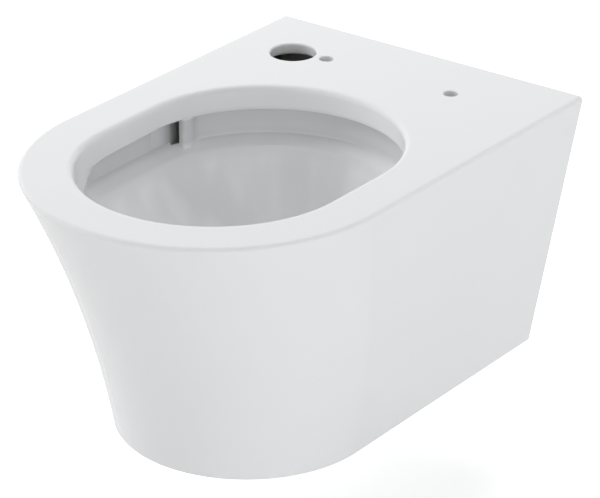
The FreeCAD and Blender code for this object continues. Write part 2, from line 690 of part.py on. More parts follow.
trap_path = new_sketch(pan, "trap_path", "YZ_Plane", "0")
open_path(trap_path, [
    (TRAP_START, LOW),
    *bend_corners(f"{RISE} - {{trap_bend}}", f"{LOW} + {{trap_bend}}", UPWARD_BEND),
    *bend_corners(f"{RISE} + {{trap_bend}}", f"{CREST} - {{trap_bend}}", OVER_BEND),
    (CREST_END, CREST)])
mitred_pipe(pan, "SubtractivePipe", "trap_bore",
            round_section(pan, "trap_ring", s(f"-{TRAP_START}"), LOW, s("{trap_radius}")), trap_path)
loft(pan, "SubtractiveLoft", "horn", [
    round_section(pan, "horn_0", s(f"-{CREST_END}"), CREST, s("{trap_radius}")),
    round_section(pan, "horn_1", OUTLET_ROOT, OUTLET, OUTLET_BORE)], ruled=True)
prism(pan, "Pocket", "outlet",
      round_section(pan, "outlet_ring", s(f"{OUTLET_END} - {{cut_over}}"), OUTLET, OUTLET_BORE),
      s("{outlet_length} + {cut_over}"), reverse=True)

# the back wall fills the groove from the flush outlet round to the right side
BACKING = s(f"{GROOVE_HALF} + {{back_sink}}")
back_wall = new_sketch(pan, "back_wall_plan", "XY_Plane", s(f"{LEDGE} - {{cut_over}}"))
middle, inner, outer = size(s(f"-{MOUTH_MIDDLE}")), size(BACK_RADIUS), size(BACKING)
face, run_out, corner = (size(s(e)) for e in ("-{back_start}", "-{back_end}", "{back_corner}"))
corner_y = face + corner
corner_x = -math.sqrt((inner + corner) ** 2 - (corner_y - middle) ** 2)
turn = math.degrees(math.atan2(corner_y - middle, corner_x))
outer_x = -math.sqrt(outer ** 2 - (face - middle) ** 2)
touch = math.asin((outer - inner) / math.hypot(outer, middle - run_out))
back_wall.addGeometry(arc(0, middle, outer, 0, math.degrees(math.atan2(face - middle, outer_x))))
back_wall.addGeometry(line(outer_x, face, corner_x, face))
back_wall.addGeometry(arc(corner_x, corner_y, corner, 270, 360 + turn - 180))
back_wall.addGeometry(arc(0, middle, inner, -math.degrees(touch), turn))
back_wall.addGeometry(line(inner * math.cos(touch), middle - inner * math.sin(touch), outer, run_out))
back_wall.addGeometry(line(outer, run_out, outer, middle))
join(back_wall, "Coincident", (0, 2, 1, 1), (4, 2, 5, 1))
join(back_wall, "Tangent", (1, 2, 2, 1), (2, 2, 3, 2), (3, 1, 4, 1), (5, 2, 0, 1))
for geo, radius in ((0, BACKING), (3, BACK_RADIUS)):
    place(back_wall, geo, 3, "0", s(f"-{MOUTH_MIDDLE}"))
    bind(back_wall, "Radius", geo, radius)
bind(back_wall, "Radius", 2, s("{back_corner}"))
back_wall.addConstraint(Sketcher.Constraint("Horizontal", 1))
bind(back_wall, "DistanceY", -1, 1, 1, 1, s("-{back_start}"))
bind(back_wall, "DistanceY", -1, 1, 5, 1, s("-{back_end}"))
prism(pan, "Pad", "back_wall", back_wall, s(f"{LIP} - {LEDGE} + {{cut_over}}"))

# the flush water comes in behind, turns left and leaves at the face of the back wall
channel = new_sketch(pan, "channel_ring", "XY_Plane", CHANNEL_LOW)
ring_sector(channel, CHANNEL_INNER, CHANNEL_OUTER, s("{channel_from}"),
            s("{channel_to} + {channel_over}"))
prism(pan, "Pocket", "channel", channel, s("{channel_height}"), reverse=True)
prism(pan, "Pocket", "inlet",
      round_section(pan, "inlet_bore", s(f"{OUTLET_END} - {{cut_over}}"), INLET, s("{inlet_radius}")),
      s("{inlet_length} + {cut_over}"), reverse=True)
prism(pan, "Pocket", "inlet_throat",
      round_section(pan, "throat_bore", INLET_ROOT, INLET, s("{inlet_throat}")),
      s(f"{CHANNEL_BACK} + {{channel_width}} / 2 - {INLET_ROOT}"), reverse=True)

# holes through deck and lugs
WINDOW_GROWTH = "(2 * {liner_gap} + {liner_wall})"
for side, name in ((1, "right"), (-1, "left")):
    seat_x, seat_y = s(f"{side} * {{seat_spacing}} / 2"), s("-{seat_depth}")
    counterbore = new_sketch(pan, f"counterbore_{name}_plan", "XY_Plane",
                             s(f"{UNDER_DECK} - {{bush_depth}} - {{cut_over}}"))
    disc(counterbore, seat_x, seat_y, s("{bush_bore}"))
    prism(pan, "Pocket", f"counterbore_{name}", counterbore, s("{bush_depth} + {cut_over}"),
          reverse=True)
    seat_hole = new_sketch(pan, f"seat_hole_{name}_plan", "XY_Plane", s(f"{UNDER_DECK} - {{cut_over}}"))
    disc(seat_hole, seat_x, seat_y, s("{seat_radius}"))
    prism(pan, "Pocket", f"seat_hole_{name}", seat_hole, s("{deck_wall} + 2 * {cut_over}"), reverse=True)
    arm_middle = f"{side} * ({{arm_inner}} + {{arm_width}} / 2)"
    window = new_sketch(pan, f"window_{name}_plan", "XZ_Plane", s("{lug_depth} - {cut_over}"))
    rectangle(window, s(f"{arm_middle} - {{arm_width}} / 2 - {WINDOW_GROWTH}"),
              s(f"-{{arm_height}} / 2 - {WINDOW_GROWTH}"),
              s(f"{arm_middle} + {{arm_width}} / 2 + {WINDOW_GROWTH}"),
              s(f"{{arm_height}} / 2 + {WINDOW_GROWTH}"))
    prism(pan, "Pocket", f"window_{name}", window, s("{lug_wall} + 2 * {cut_over}"), reverse=True)
hose = new_sketch(pan, "hose_port_plan", "XY_Plane", s(f"{UNDER_DECK} - {{bush_depth}}"))
disc(hose, s("-{hose_side}"), s("-{hose_depth}"), s("{hose_radius}"))
prism(pan, "Pocket", "hose_port", hose, s("{deck_wall} + {bush_depth} + {cut_over}"), reverse=True)


def rim_of_hole(edge, x, y, radius):
    """True for the circle at deck level with this centre and radius."""
    curve = edge.Curve
    return (isinstance(curve, Part.Circle) and level(edge, "Z", size("Sizes.rim_height"))
            and abs(curve.Radius - radius) < NEAR
            and math.hypot(curve.Center.x - x, curve.Center.y - y) < NEAR)


chamfer(pan, "seat_edges", s("{seat_round}"),
        lambda e: any(rim_of_hole(e, side * size(s("{seat_spacing} / 2")), -size(s("{seat_depth}")),
                                  size(s("{seat_radius}"))) for side in (1, -1)))
chamfer(pan, "hose_edge", s("{hose_round}"),
        lambda e: rim_of_hole(e, -size(s("{hose_side}")), -size(s("{hose_depth}")),
                              size(s("{hose_radius}"))))
doc.recompute()


# ---------------------------------------------------------------------------
# the clay is cast in pieces that are joined before the firing: each mould is a body
# that holds the whole of its piece, and takes it from what the others left

skirt_mould = new_body("skirt_mould")
below_deck = new_sketch(skirt_mould, "below_deck_plan", "XY_Plane", s(f"{BASE} - {{cut_over}}"))
rectangle(below_deck, s("-{pan_width} / 2 - {cut_over}"), s("-{pan_length} - {cut_over}"),
          s("{pan_width} / 2 + {cut_over}"), s("{cut_over} / 2"))
prism(skirt_mould, "Pad", "below_deck", below_deck, s(f"{UNDER_DECK} - {BASE} + {{cut_over}}"))
inside_of_skirt(skirt_mould, "SubtractiveLoft")

flush_mould = new_body("flush_mould")
flush_casing(flush_mould, "Pad", s(f"{BACK_RADIUS} + {{channel_gap}} / 2"),
             s(f"{UNDER_DECK} - {RIM_LOW}"))
flush_top = new_sketch(flush_mould, "flush_top_plan", "XY_Plane", UNDER_DECK)
rectangle(flush_top, s("-{inlet_radius}"), s(f"-{CHANNEL_BACK} - {{channel_width}} - {{cut_over}}"),
          s("{inlet_radius}"), s("-{spigot_recess} + {cut_over}"))
prism(flush_mould, "Pocket", "flush_top", flush_top, s("{inlet_wall}"), reverse=True)

deck_mould = new_body("deck_mould")
slab = new_sketch(deck_mould, "deck_plan", "XY_Plane", UNDER_DECK)
rectangle(slab, s("-{pan_width} / 2 - {cut_over}"), s("-{pan_length} - {cut_over}"),
          s("{pan_width} / 2 + {cut_over}"), s("{cut_over}"))
prism(deck_mould, "Pad", "deck_slab", slab, s("{deck_wall} + {cut_over}"))
rim_backing(deck_mould, "Pad", s(f"{UNDER_DECK} - {RIM_LOW}"))
seat_bosses(deck_mould, "Pad", s("{bush_depth}"))

bowl_mould = new_body("bowl_mould")
bowl_blocks(bowl_mould, "AdditiveWedge")

trap_mould = new_body("trap_mould")
trap_casing(trap_mould, "Pad")

right_mould = new_body("right_mould")
right_half = new_sketch(right_mould, "right_half_plan", "XY_Plane", BASE)
rectangle(right_half, "0", s("-{pan_length}"), s("{pan_width}"), s("{cut_over}"))
prism(right_mould, "Pad", "right_half", right_half, s("{pan_height}"))
doc.recompute()

left_over, parts = pan, []
for name, mould in (("skirt", skirt_mould), ("flush_channel", flush_mould), ("rim_deck", deck_mould),
                    ("bowl", bowl_mould), ("trapway", trap_mould), ("hanger_right", right_mould)):
    piece = doc.addObject("Part::Common", name)
    rest = doc.addObject("Part::Cut", f"without_{name}")
    for feature in (piece, rest):
        feature.Base, feature.Tool = left_over, mould
    doc.recompute()
    parts.append(piece)
    left_over = rest
left_over.Label = "hanger_left"
parts.append(left_over)

# ---------------------------------------------------------------------------
# fixings, one set on each side


def span(side, low, high):
    """Two X expressions, mirrored to the side and kept in order."""
    if side > 0:
        return s(low), s(high)
    return s(f"-({high})"), s(f"-({low})")


def hexagon(sketch, x, y, flats, first_corner):
    """Regular hexagon with one corner at a stated angle in degrees."""
    polygon(sketch, [
        (s(f"{x} + {flats} / 2 / cos(30) * cos({first_corner + 60 * i})"),
         s(f"{y} + {flats} / 2 / cos(30) * sin({first_corner + 60 * i})")) for i in range(6)])


ARM_TOP, ARM_FOOT = s("{arm_height} / 2"), s("-{arm_height} / 2")
ARM_FLOOR = s("-{arm_height} / 2 + {arm_floor}")
SEAT_Y = s("-{seat_depth}")
COUNTERBORE = s(f"{UNDER_DECK} - {{bush_depth}} - {{bush_gap}}")
BUSH_LOW = s(f"{COUNTERBORE} - {{bush_flange}}")

for side, name in ((1, "right"), (-1, "left")):
    stud_x = s(f"{side} * {{stud_spacing}} / 2")
    seat_x = s(f"{side} * {{seat_spacing}} / 2")

    # die-cast arm: block at the wall, floor, two cheeks and the ramp that the foot rides down
    arm = new_body(f"wall_bracket_{name}")
    arm_low = span(side, "{arm_inner}", "{arm_inner} + {arm_width}")[0]
    ramp_run = "({hook_height} + {arm_height} / 2 - {arm_floor}) * tan({ramp_angle})"
    profile = new_sketch(arm, f"arm_side_{name}", "YZ_Plane", arm_low)
    polygon(profile, [
        ("0", ARM_FOOT), ("0", ARM_TOP), (s("-{arm_block}"), ARM_TOP),
        (s("-{arm_block}"), ARM_FLOOR), (s(f"-{{hook_reach}} + {ramp_run}"), ARM_FLOOR),
        (s("-{hook_reach}"), s("{hook_height}")), (s("-{arm_length}"), s("{hook_height}")),
        (s("-{arm_length}"), ARM_FOOT)])
    prism(arm, "Pad", f"arm_{name}", profile, s("{arm_width}"))
    for edge_name, low, high in (
            ("inner", "{arm_inner}", "{arm_inner} + {arm_cheek}"),
            ("outer", "{arm_inner} + {arm_width} - {arm_cheek}", "{arm_inner} + {arm_width}")):
        cheek = new_sketch(arm, f"cheek_{edge_name}_{name}_side", "YZ_Plane", span(side, low, high)[0])
        rectangle(cheek, s("-{arm_length}"), ARM_FOOT, s("-{arm_block} + {cut_over}"),
                  s("{hook_height} - {cheek_drop}"))
        prism(arm, "Pad", f"cheek_{edge_name}_{name}", cheek, s("{arm_cheek}"))
    stud_hole = new_sketch(arm, f"stud_hole_{name}_plan", "XZ_Plane", s("-{cut_over}"))
    disc(stud_hole, stud_x, "0", s("{stud_hole}"))
    prism(arm, "Pocket", f"stud_hole_{name}", stud_hole, s("{arm_block} + 2 * {cut_over}"), reverse=True)
    parts.append(arm)

    # moulded liner: a sleeve in the lug's window with a flange on the wall side
    liner = new_body(f"bracket_liner_{name}")
    flange_depth = s("{lug_depth} - {liner_gap} - {liner_sheet}")
    liner_middle = f"{side} * ({{arm_inner}} + {{arm_width}} / 2)"
    for stage, kind, depth, growth, length in (
            ("sleeve", "Pad", flange_depth, "{liner_wall}", "{liner_length}"),
            ("flange", "Pad", flange_depth, "{liner_wall} + {liner_flange}", "{liner_sheet}"),
            ("liner_bore", "Pocket", s(f"{flange_depth} - {{cut_over}}"), "0",
             "{liner_length} + 2 * {cut_over}")):
        outline = new_sketch(liner, f"{stage}_{name}_plan", "XZ_Plane", depth)
        half_x = f"({{arm_width}} / 2 + {{liner_gap}} + {growth})"
        half_z = f"({{arm_height}} / 2 + {{liner_gap}} + {growth})"
        rectangle(outline, s(f"{liner_middle} - {half_x}"), s(f"-{half_z}"),
                  s(f"{liner_middle} + {half_x}"), s(half_z))
        prism(liner, kind, f"{stage}_{name}", outline, s(length), reverse=kind == "Pocket")
    parts.append(liner)

    # washer and nut on the wall stud
    washer = new_body(f"stud_washer_{name}")
    ring = new_sketch(washer, f"washer_{name}_plan", "XZ_Plane", s("{arm_block}"))
    disc(ring, stud_x, "0", s("{washer_radius}"))
    disc(ring, stud_x, "0", s("{washer_hole}"))
    prism(washer, "Pad", f"washer_{name}", ring, s("{washer_thick}"))
    parts.append(washer)

    nut = new_body(f"stud_nut_{name}")
    flats = new_sketch(nut, f"nut_{name}_plan", "XZ_Plane", s("{arm_block} + {washer_thick}"))
    hexagon(flats, stud_x, "0", "{nut_flats}", 30)
    disc(flats, stud_x, "0", s("{nut_thread}"))
    prism(nut, "Pad", f"nut_{name}", flats, s("{nut_thick}"))
    parts.append(nut)

    # bush: a neck in the counterbore over a hexagonal flange that is clamped under the boss
    bush = new_body(f"deck_bush_{name}")
    flange = new_sketch(bush, f"bush_flange_{name}_plan", "XY_Plane", BUSH_LOW)
    hexagon(flange, seat_x, SEAT_Y, "{bush_flats}", 0)
    prism(bush, "Pad", f"bush_flange_{name}", flange, s("{bush_flange}"))
    neck = new_sketch(bush, f"bush_neck_{name}_plan", "XY_Plane", COUNTERBORE)
    disc(neck, seat_x, SEAT_Y, s("{bush_bore} - {bush_gap}"))
    prism(bush, "Pad", f"bush_neck_{name}", neck, s("{bush_depth}"))
    bore = new_sketch(bush, f"bush_bore_{name}_plan", "XY_Plane", s(f"{BUSH_LOW} - {{cut_over}}"))
    disc(bore, seat_x, SEAT_Y, s("{insert_radius} + {insert_gap}"))
    prism(bush, "Pocket", f"bush_bore_{name}", bore, s("{bush_flange} + {bush_depth} + 2 * {cut_over}"),
          reverse=True)
    parts.append(bush)

    # threaded insert, pushed up into the bush as far as its hexagonal collar
    insert = new_body(f"thread_insert_{name}")
    collar = new_sketch(insert, f"collar_{name}_plan", "XY_Plane",
                        s(f"{BUSH_LOW} - {{insert_collar_thick}}"))
    hexagon(collar, seat_x, SEAT_Y, "{insert_flats}", 30)
    prism(insert, "Pad", f"collar_{name}", collar, s("{insert_collar_thick}"))
    barrel = new_sketch(insert, f"barrel_{name}_plan", "XY_Plane", BUSH_LOW)
    disc(barrel, seat_x, SEAT_Y, s("{insert_radius}"))
    prism(insert, "Pad", f"barrel_{name}", barrel, s("{insert_length}"))
    thread = new_sketch(insert, f"thread_{name}_plan", "XY_Plane",
                        s(f"{BUSH_LOW} - {{insert_collar_thick}} - {{cut_over}}"))
    disc(thread, seat_x, SEAT_Y, s("{screw_radius} + {thread_gap}"))
    prism(insert, "Pocket", f"thread_{name}", thread,
          s("{insert_length} + {insert_collar_thick} + 2 * {cut_over}"), reverse=True)
    parts.append(insert)

    # screw: threaded shank, thin end that turns in the foot, hex socket on top
    screw = new_body(f"clamp_screw_{name}")
    shoulder = s("{foot_top} + {shoulder_gap}")
    screw_high = s("{rim_height} - {screw_top}")
    dog_low = s(f"{shoulder} - {{dog_length}}")
    for stage, low, high, radius in (("shank", shoulder, screw_high, "{screw_radius}"),
                                     ("dog", dog_low, shoulder, "{dog_radius}")):
        turned = new_sketch(screw, f"{stage}_{name}_plan", "XY_Plane", low)
        disc(turned, seat_x, SEAT_Y, s(radius))
        prism(screw, "Pad", f"{stage}_{name}", turned, s(f"{high} - {low}"))
    socket = new_sketch(screw, f"socket_{name}_plan", "XY_Plane", s(f"{screw_high} - {{socket_depth}}"))
    hexagon(socket, seat_x, SEAT_Y, "{socket_flats}", 0)
    prism(screw, "Pocket", f"socket_{name}", socket, s("{socket_depth} + {cut_over}"), reverse=True)
    parts.append(screw)

    # square clip, pushed on to the thin end under the foot's flange
    clip = new_body(f"screw_clip_{name}")
    clip_high = s("{foot_top} - {foot_flange} - {foot_gap}")
    plate = new_sketch(clip, f"clip_{name}_plan", "XY_Plane", s(f"{clip_high} - {{clip_thick}}"))
    rectangle(plate, s(f"{seat_x} - {{clip_flats}} / 2"), s(f"{SEAT_Y} - {{clip_flats}} / 2"),
              s(f"{seat_x} + {{clip_flats}} / 2"), s(f"{SEAT_Y} + {{clip_flats}} / 2"))
    disc(plate, seat_x, SEAT_Y, s("{dog_radius} + {clip_gap}"))
    prism(clip, "Pad", f"clip_{name}", plate, s("{clip_thick}"))
    parts.append(clip)

    # foot: its bevel lies along the ramp, its pocket takes the clip
    foot = new_body(f"clamp_foot_{name}")
    profile = new_sketch(foot, f"foot_side_{name}", "YZ_Plane", s(f"{seat_x} - {{foot_width}} / 2"))
    front_y, rear_y = s(f"{SEAT_Y} - {{foot_depth}} / 2"), s(f"{SEAT_Y} + {{foot_depth}} / 2")
    ramp_top = "(-{hook_reach} + {foot_gap} / cos({ramp_angle}))"
    bevel_low_y = s(f"{ramp_top} + ({{hook_height}} + {{foot_bottom}}) * tan({{ramp_angle}})")
    bevel_high_z = s(f"{{hook_height}} - ({front_y} - {ramp_top}) / tan({{ramp_angle}})")
    polygon(profile, [
        (rear_y, s("-{foot_bottom}")), (rear_y, s("{foot_top}")), (front_y, s("{foot_top}")),
        (front_y, bevel_high_z), (bevel_low_y, s("-{foot_bottom}"))])
    prism(foot, "Pad", f"foot_{name}", profile, s("{foot_width}"))
    pocket = new_sketch(foot, f"foot_pocket_{name}_plan", "XZ_Plane", s(f"-{rear_y} - {{cut_over}}"))
    pocket_high = s("{foot_top} - {foot_flange}")
    rectangle(pocket, s(f"{seat_x} - {{pocket_width}} / 2"), s(f"{pocket_high} - {{pocket_height}}"),
              s(f"{seat_x} + {{pocket_width}} / 2"), pocket_high)
    prism(foot, "Pocket", f"foot_pocket_{name}", pocket,
          s("{foot_depth} + {cut_over} - {pocket_wall}"), reverse=True)
    dog_hole = new_sketch(foot, f"dog_hole_{name}_plan", "XY_Plane", s(f"{pocket_high} - {{cut_over}}"))
    disc(dog_hole, seat_x, SEAT_Y, s("{dog_radius} + {dog_gap}"))
    prism(foot, "Pocket", f"dog_hole_{name}", dog_hole, s("{foot_flange} + 2 * {cut_over}"), reverse=True)
    parts.append(foot)

doc.recompute()

# ---------------------------------------------------------------------------
# every object has to be sound before anything is written

for thing in doc.Objects:
    if {"Invalid", "Error"} & set(thing.State):
        raise ValueError(f"{thing.Name} failed: {thing.State}")
for body in parts:
    if body.Shape.isNull() or not body.Shape.isValid() or len(body.Shape.Solids) != 1:
        raise ValueError(f"{body.Label} is not one sound solid")
    print(body.Label, round(body.Shape.Volume / 1000, 2), "cm3")

os.makedirs("parts", exist_ok=True)
for body in parts:
    body.Shape.exportStep(f"parts/{body.Label}.step")
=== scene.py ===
import math

import bmesh
import bpy
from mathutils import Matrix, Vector


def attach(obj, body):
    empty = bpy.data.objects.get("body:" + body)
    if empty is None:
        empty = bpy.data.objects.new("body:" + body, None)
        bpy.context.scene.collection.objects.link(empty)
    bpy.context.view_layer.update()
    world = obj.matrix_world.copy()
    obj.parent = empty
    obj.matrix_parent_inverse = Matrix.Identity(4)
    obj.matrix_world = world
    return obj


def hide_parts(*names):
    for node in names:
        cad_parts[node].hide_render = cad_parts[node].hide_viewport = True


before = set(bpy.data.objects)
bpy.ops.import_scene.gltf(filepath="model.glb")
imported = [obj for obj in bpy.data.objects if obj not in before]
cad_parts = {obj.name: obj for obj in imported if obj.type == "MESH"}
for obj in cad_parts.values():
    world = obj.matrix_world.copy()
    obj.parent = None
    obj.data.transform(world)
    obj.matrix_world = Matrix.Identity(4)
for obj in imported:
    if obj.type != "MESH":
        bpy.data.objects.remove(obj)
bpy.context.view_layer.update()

# ---------------------------------------------------------------------------
# Fired china. The real pan is slip cast in plaster, its castings are luted together
# while damp, and one coat of white glaze runs over all that shows. It is skinned here
# over level outlines, then the hollow behind the skirt and the water ways are cut out.

outline_corners, pipe_corners = 128, 64
rim_height = 0.080
deck_half, deck_length, deck_round = 0.1875, 0.540, 0.004
base_half, base_length, base_round = 0.134, 0.440, 0.003
front_hollow = 0.014
skirt_wall, under_deck, base_floor = 0.012, 0.067, -0.197
skirt_top = rim_height - deck_round
skirt_fall = 0.289 - deck_round - base_round
crisp = 0.0004                # keeps rings at a sharp edge from lying on each other


def pick(kind, wanted):
    """Select only those corners, edges or faces of the open mesh for which wanted() holds."""
    bpy.ops.mesh.select_all(action="DESELECT")
    mesh = bmesh.from_edit_mesh(bpy.context.edit_object.data)
    parts = getattr(mesh, kind)
    parts.index_update()
    for part in parts:
        if wanted(part):
            part.select_set(True)
    mesh.select_flush(True)
    bmesh.update_edit_mesh(bpy.context.edit_object.data)


def open_piece(name):
    """An empty piece at the origin, open for modelling."""
    bpy.ops.object.select_all(action="DESELECT")
    bpy.ops.mesh.primitive_plane_add(location=(0, 0, 0))
    piece = bpy.context.object
    piece.name = piece.data.name = name
    bpy.ops.object.mode_set(mode="EDIT")
    bpy.ops.mesh.select_mode(type="VERT")
    bpy.ops.mesh.select_all(action="SELECT")
    bpy.ops.mesh.delete(type="VERT")
    return piece


def close_piece(piece):
    """Turn every face outwards and leave edit mode."""
    bpy.ops.mesh.select_all(action="SELECT")
    bpy.ops.mesh.normals_make_consistent(inside=False)
    bpy.ops.object.mode_set(mode="OBJECT")
    return piece


def level_outline(half, front, back, height, straight_back=False):
    """A ring on one level: its rear half is drawn back, and pressed flat for a straight back."""
    middle = half - front
    bpy.ops.mesh.select_all(action="DESELECT")
    bpy.ops.mesh.primitive_circle_add(
        vertices=outline_corners, radius=half / math.cos(math.pi / outline_corners),
        location=(0, middle, height), rotation=(0, 0, math.pi / outline_corners))
    mesh = bmesh.from_edit_mesh(bpy.context.edit_object.data)
    for corner in mesh.verts:
        if corner.select and corner.co.y < middle:
            corner.select_set(False)
    bmesh.update_edit_mesh(bpy.context.edit_object.data)
    if straight_back:
        bpy.ops.transform.resize(value=(1, 0, 1), center_override=(0, middle, height))
        bpy.ops.transform.translate(value=(0, -back - middle, 0))
    else:
        bpy.ops.transform.translate(value=(0, -back - half - middle, 0))


def cross_ring(y, z, radius, turn):
    """A ring round the middle line of a pipe that runs in the plane x = 0."""
    bpy.ops.mesh.select_all(action="DESELECT")
    bpy.ops.mesh.primitive_circle_add(
        vertices=pipe_corners, radius=radius, location=(0, y, z), rotation=(turn, 0, 0))


def skin_over(name, draw, levels, corners, lift=0):
    """A closed piece skinned over rings from the first level to the last.

    Rings that may share a level are lifted while they are bridged, so that none is turned over.
    """
    piece = open_piece(name)
    for number, level in enumerate(levels):
        draw(*level)
        if number:
            pick("verts", lambda corner: corner.index >= number * corners)
            bpy.ops.transform.translate(value=(0, 0, lift))
            pick("verts", lambda corner: corner.index >= (number - 1) * corners)
            bpy.ops.mesh.bridge_edge_loops()
            pick("verts", lambda corner: corner.index >= number * corners)
            bpy.ops.transform.translate(value=(0, 0, -lift))
    for end in (0, len(levels) - 1):
        pick("verts", lambda corner: corner.index // corners == end)
        bpy.ops.mesh.edge_face_add()
    return close_piece(piece)


def raised_outline(name, corners, low, high):
    """A closed piece with upright sides over an outline given corner by corner."""
    piece = open_piece(name)
    bpy.ops.mesh.primitive_circle_add(vertices=len(corners), radius=1, fill_type="NGON")
    mesh = bmesh.from_edit_mesh(piece.data)
    for corner, (x, y) in zip(mesh.faces[:][0].verts, corners):
        corner.co = (x, y, low)
    bmesh.update_edit_mesh(piece.data)
    bpy.ops.mesh.extrude_region_move(TRANSFORM_OT_translate={"value": (0, 0, high - low)})
    return close_piece(piece)


def block(name, side, low, high):
    """A plain block between two corners given for the right side, or its mirror image."""
    (x1, y1, z1), (x2, y2, z2) = low, high
    x1, x2 = sorted((side * x1, side * x2))
    return raised_outline(name, [(x1, y1), (x2, y1), (x2, y2), (x1, y2)], z1, z2)


def turned(name, x, y, profile, corners=96):
    """A closed piece turned about an upright line, over pairs of height and radius."""
    def ring(height, radius):
        bpy.ops.mesh.select_all(action="DESELECT")
        bpy.ops.mesh.primitive_circle_add(vertices=corners, radius=radius, location=(x, y, height))

    return skin_over(name, ring, profile, corners)


def pipe(name, stations):
    """A closed round piece along stations of y, z, radius and turn."""
    return skin_over(name, cross_ring, stations, pipe_corners)


def tube(name, start, end, height, radius):
    """A straight pipe along Y on one level."""
    return pipe(name, [(y, height, radius, -math.pi / 2) for y in (start, end)])


def work(piece, tool, operation):
    """Cut a closed tool out of a piece, or join it on, and put the tool away."""
    bpy.ops.object.select_all(action="DESELECT")
    piece.select_set(True)
    bpy.context.view_layer.objects.active = piece
    change = piece.modifiers.new("change", "BOOLEAN")
    change.operation, change.solver, change.object = operation, "EXACT", tool
    change.material_mode = "TRANSFER"
    bpy.ops.object.modifier_apply(modifier=change.name)
    bpy.data.objects.remove(tool)


def skirt_level(share, height, inset, back):
    """The skirt's outline, drawn in evenly at the sides and in a bent line at the front."""
    half = deck_half - (deck_half - base_half) * share
    front = deck_length - (deck_length - base_length) * share
    front -= 4 * front_hollow * share * (1 - share)
    return half - inset, front - inset, back, height, True


def quarter(radius, turn):
    """Fall and inset of a rounded edge after a turn in degrees."""
    angle = math.radians(turn)
    return radius * (1 - math.sin(angle)), radius * (1 - math.cos(angle))


def through(values, place):
    """Smooth curve through evenly spaced values, at 0 for the first of them."""
    knot = min(int(place), len(values) - 2)
    t = place - knot
    here, there = values[knot], values[knot + 1]
    before = values[knot - 1] if knot else 2 * here - there
    after = values[knot + 2] if knot + 2 < len(values) else 2 * there - here
    return (2 * here + (there - before) * t + (2 * before - 5 * here + 4 * there - after) * t ** 2
            + (3 * (here - there) + after - before) * t ** 3) / 2


mouth_half, mouth_front, mouth_back = 0.135, 0.4875, 0.141
mouth_round, lip_low, lip_round = 0.006, 0.0525, 0.007
groove_depth, groove_low, groove_round = 0.013, 0.027, 0.002
ledge_lead, ledge_low = 0.001, 0.0184
bowl_sections = [(0.017, 0.132, 0.4845, 0.144), (-0.035, 0.098, 0.440, 0.160),
                 (-0.090, 0.066, 0.372, 0.187), (-0.140, 0.042, 0.318, 0.197),
                 (-0.190, 0.029, 0.274, 0.205)]


def mouth_level(growth, height):
    """The mouth's outline, grown outwards."""
    return mouth_half + growth, mouth_front + growth, mouth_back - growth, height


def along_bowl(sections, place):
    """Outline of the bowl part of the way from its first section to its last."""
    height, half, front, back = (through(column, place) for column in zip(*sections))
    return half, front, back, height


# from the skirt's foot up its outside, over the deck, down the lip, the groove and the bowl
levels = []
fine_turns, skirt_steps = (15, 30, 45, 60, 75, 90), 24
for turn in reversed(fine_turns):
    fall, inset = quarter(base_round, turn)
    levels.append(skirt_level(1, skirt_top - skirt_fall - base_round + fall, inset, 0))
for step in range(skirt_steps, -1, -1):
    share = step / skirt_steps
    levels.append(skirt_level(share, skirt_top - skirt_fall * share, 0, 0))
for turn in fine_turns:
    fall, inset = quarter(deck_round, turn)
    levels.append(skirt_level(0, rim_height - fall, inset, 0))
levels.append(skirt_level(0, rim_height, deck_round + crisp, crisp))
levels.append(mouth_level(mouth_round + crisp, rim_height))
for turn in (*reversed(fine_turns), 0):
    fall, growth = quarter(mouth_round, turn)
    levels.append(mouth_level(growth, rim_height - fall))
for turn in (0, *fine_turns):
    fall, growth = quarter(lip_round, turn)
    levels.append(mouth_level(growth, lip_low + fall))
for turn in (90, 60, 30, 0):
    fall, inset = quarter(groove_round, turn)
    levels.append(mouth_level(groove_depth - inset, lip_low - fall))
for turn in (0, 20, 40, 58):
    fall, inset = quarter(groove_round, turn)
    levels.append(mouth_level(groove_depth - inset, groove_low + fall))
levels.append(mouth_level(-ledge_lead, ledge_low))
for place in (0, 0.04, 0.12, *(step / 6 for step in range(2, 25))):
    levels.append(along_bowl(bowl_sections, place))
china = skin_over("glazed_china", level_outline, levels, outline_corners, lift=0.05)

# towards the front the groove closes and the lip comes down to the bowl
mouth_centre, front_centre = mouth_half - (mouth_back + 2 * mouth_half), mouth_half - mouth_front
groove_ends, closing_length = -0.325, 0.072
most_shut, shut_height, shut_spread, margin = 0.97, 0.030, 0.15, 0.0005
for corner in china.data.vertices:
    x, y, z = corner.co
    centre = min(max(y, front_centre), mouth_centre)
    growth = math.hypot(x, y - centre) - mouth_half
    in_groove = -margin < growth < groove_depth + margin and groove_low - margin < z < 0.060
    if y < groove_ends and in_groove:
        share = min(1, (groove_ends - y) / closing_length)
        shut = most_shut * (1 - math.sqrt(1 - share * share))
        draw_in = (mouth_half + growth * (1 - shut)) / (mouth_half + growth)
        corner.co.x = x * draw_in
        corner.co.y = centre + (y - centre) * draw_in
        lip_share = z - lip_low + groove_round
        if lip_share > -margin:
            corner.co.z = z * (1 - shut) + shut * (shut_height + shut_spread * lip_share)

# the hollow behind the skirt is built as a block of air, less the china that stands in it
past_wall, into_deck = 0.010, under_deck + 0.002
hollow = skin_over("hollow", level_outline, [
    skirt_level((skirt_top - height) / skirt_fall, height, skirt_wall, -past_wall)
    for height in (base_floor + (under_deck - base_floor) * step / 12 for step in range(13))],
    outline_corners)
shell_sections = [(0.014, 0.158, 0.5105, 0.118), (-0.035, 0.111, 0.458, 0.147),
                  (-0.090, 0.079, 0.390, 0.174), (-0.140, 0.055, 0.336, 0.184),
                  (-0.199, 0.042, 0.292, 0.192)]
work(hollow, skin_over("shell", level_outline, [
    (*shell_sections[0][1:], into_deck),
    *(along_bowl(shell_sections, step / 6) for step in range(25))], outline_corners), "DIFFERENCE")

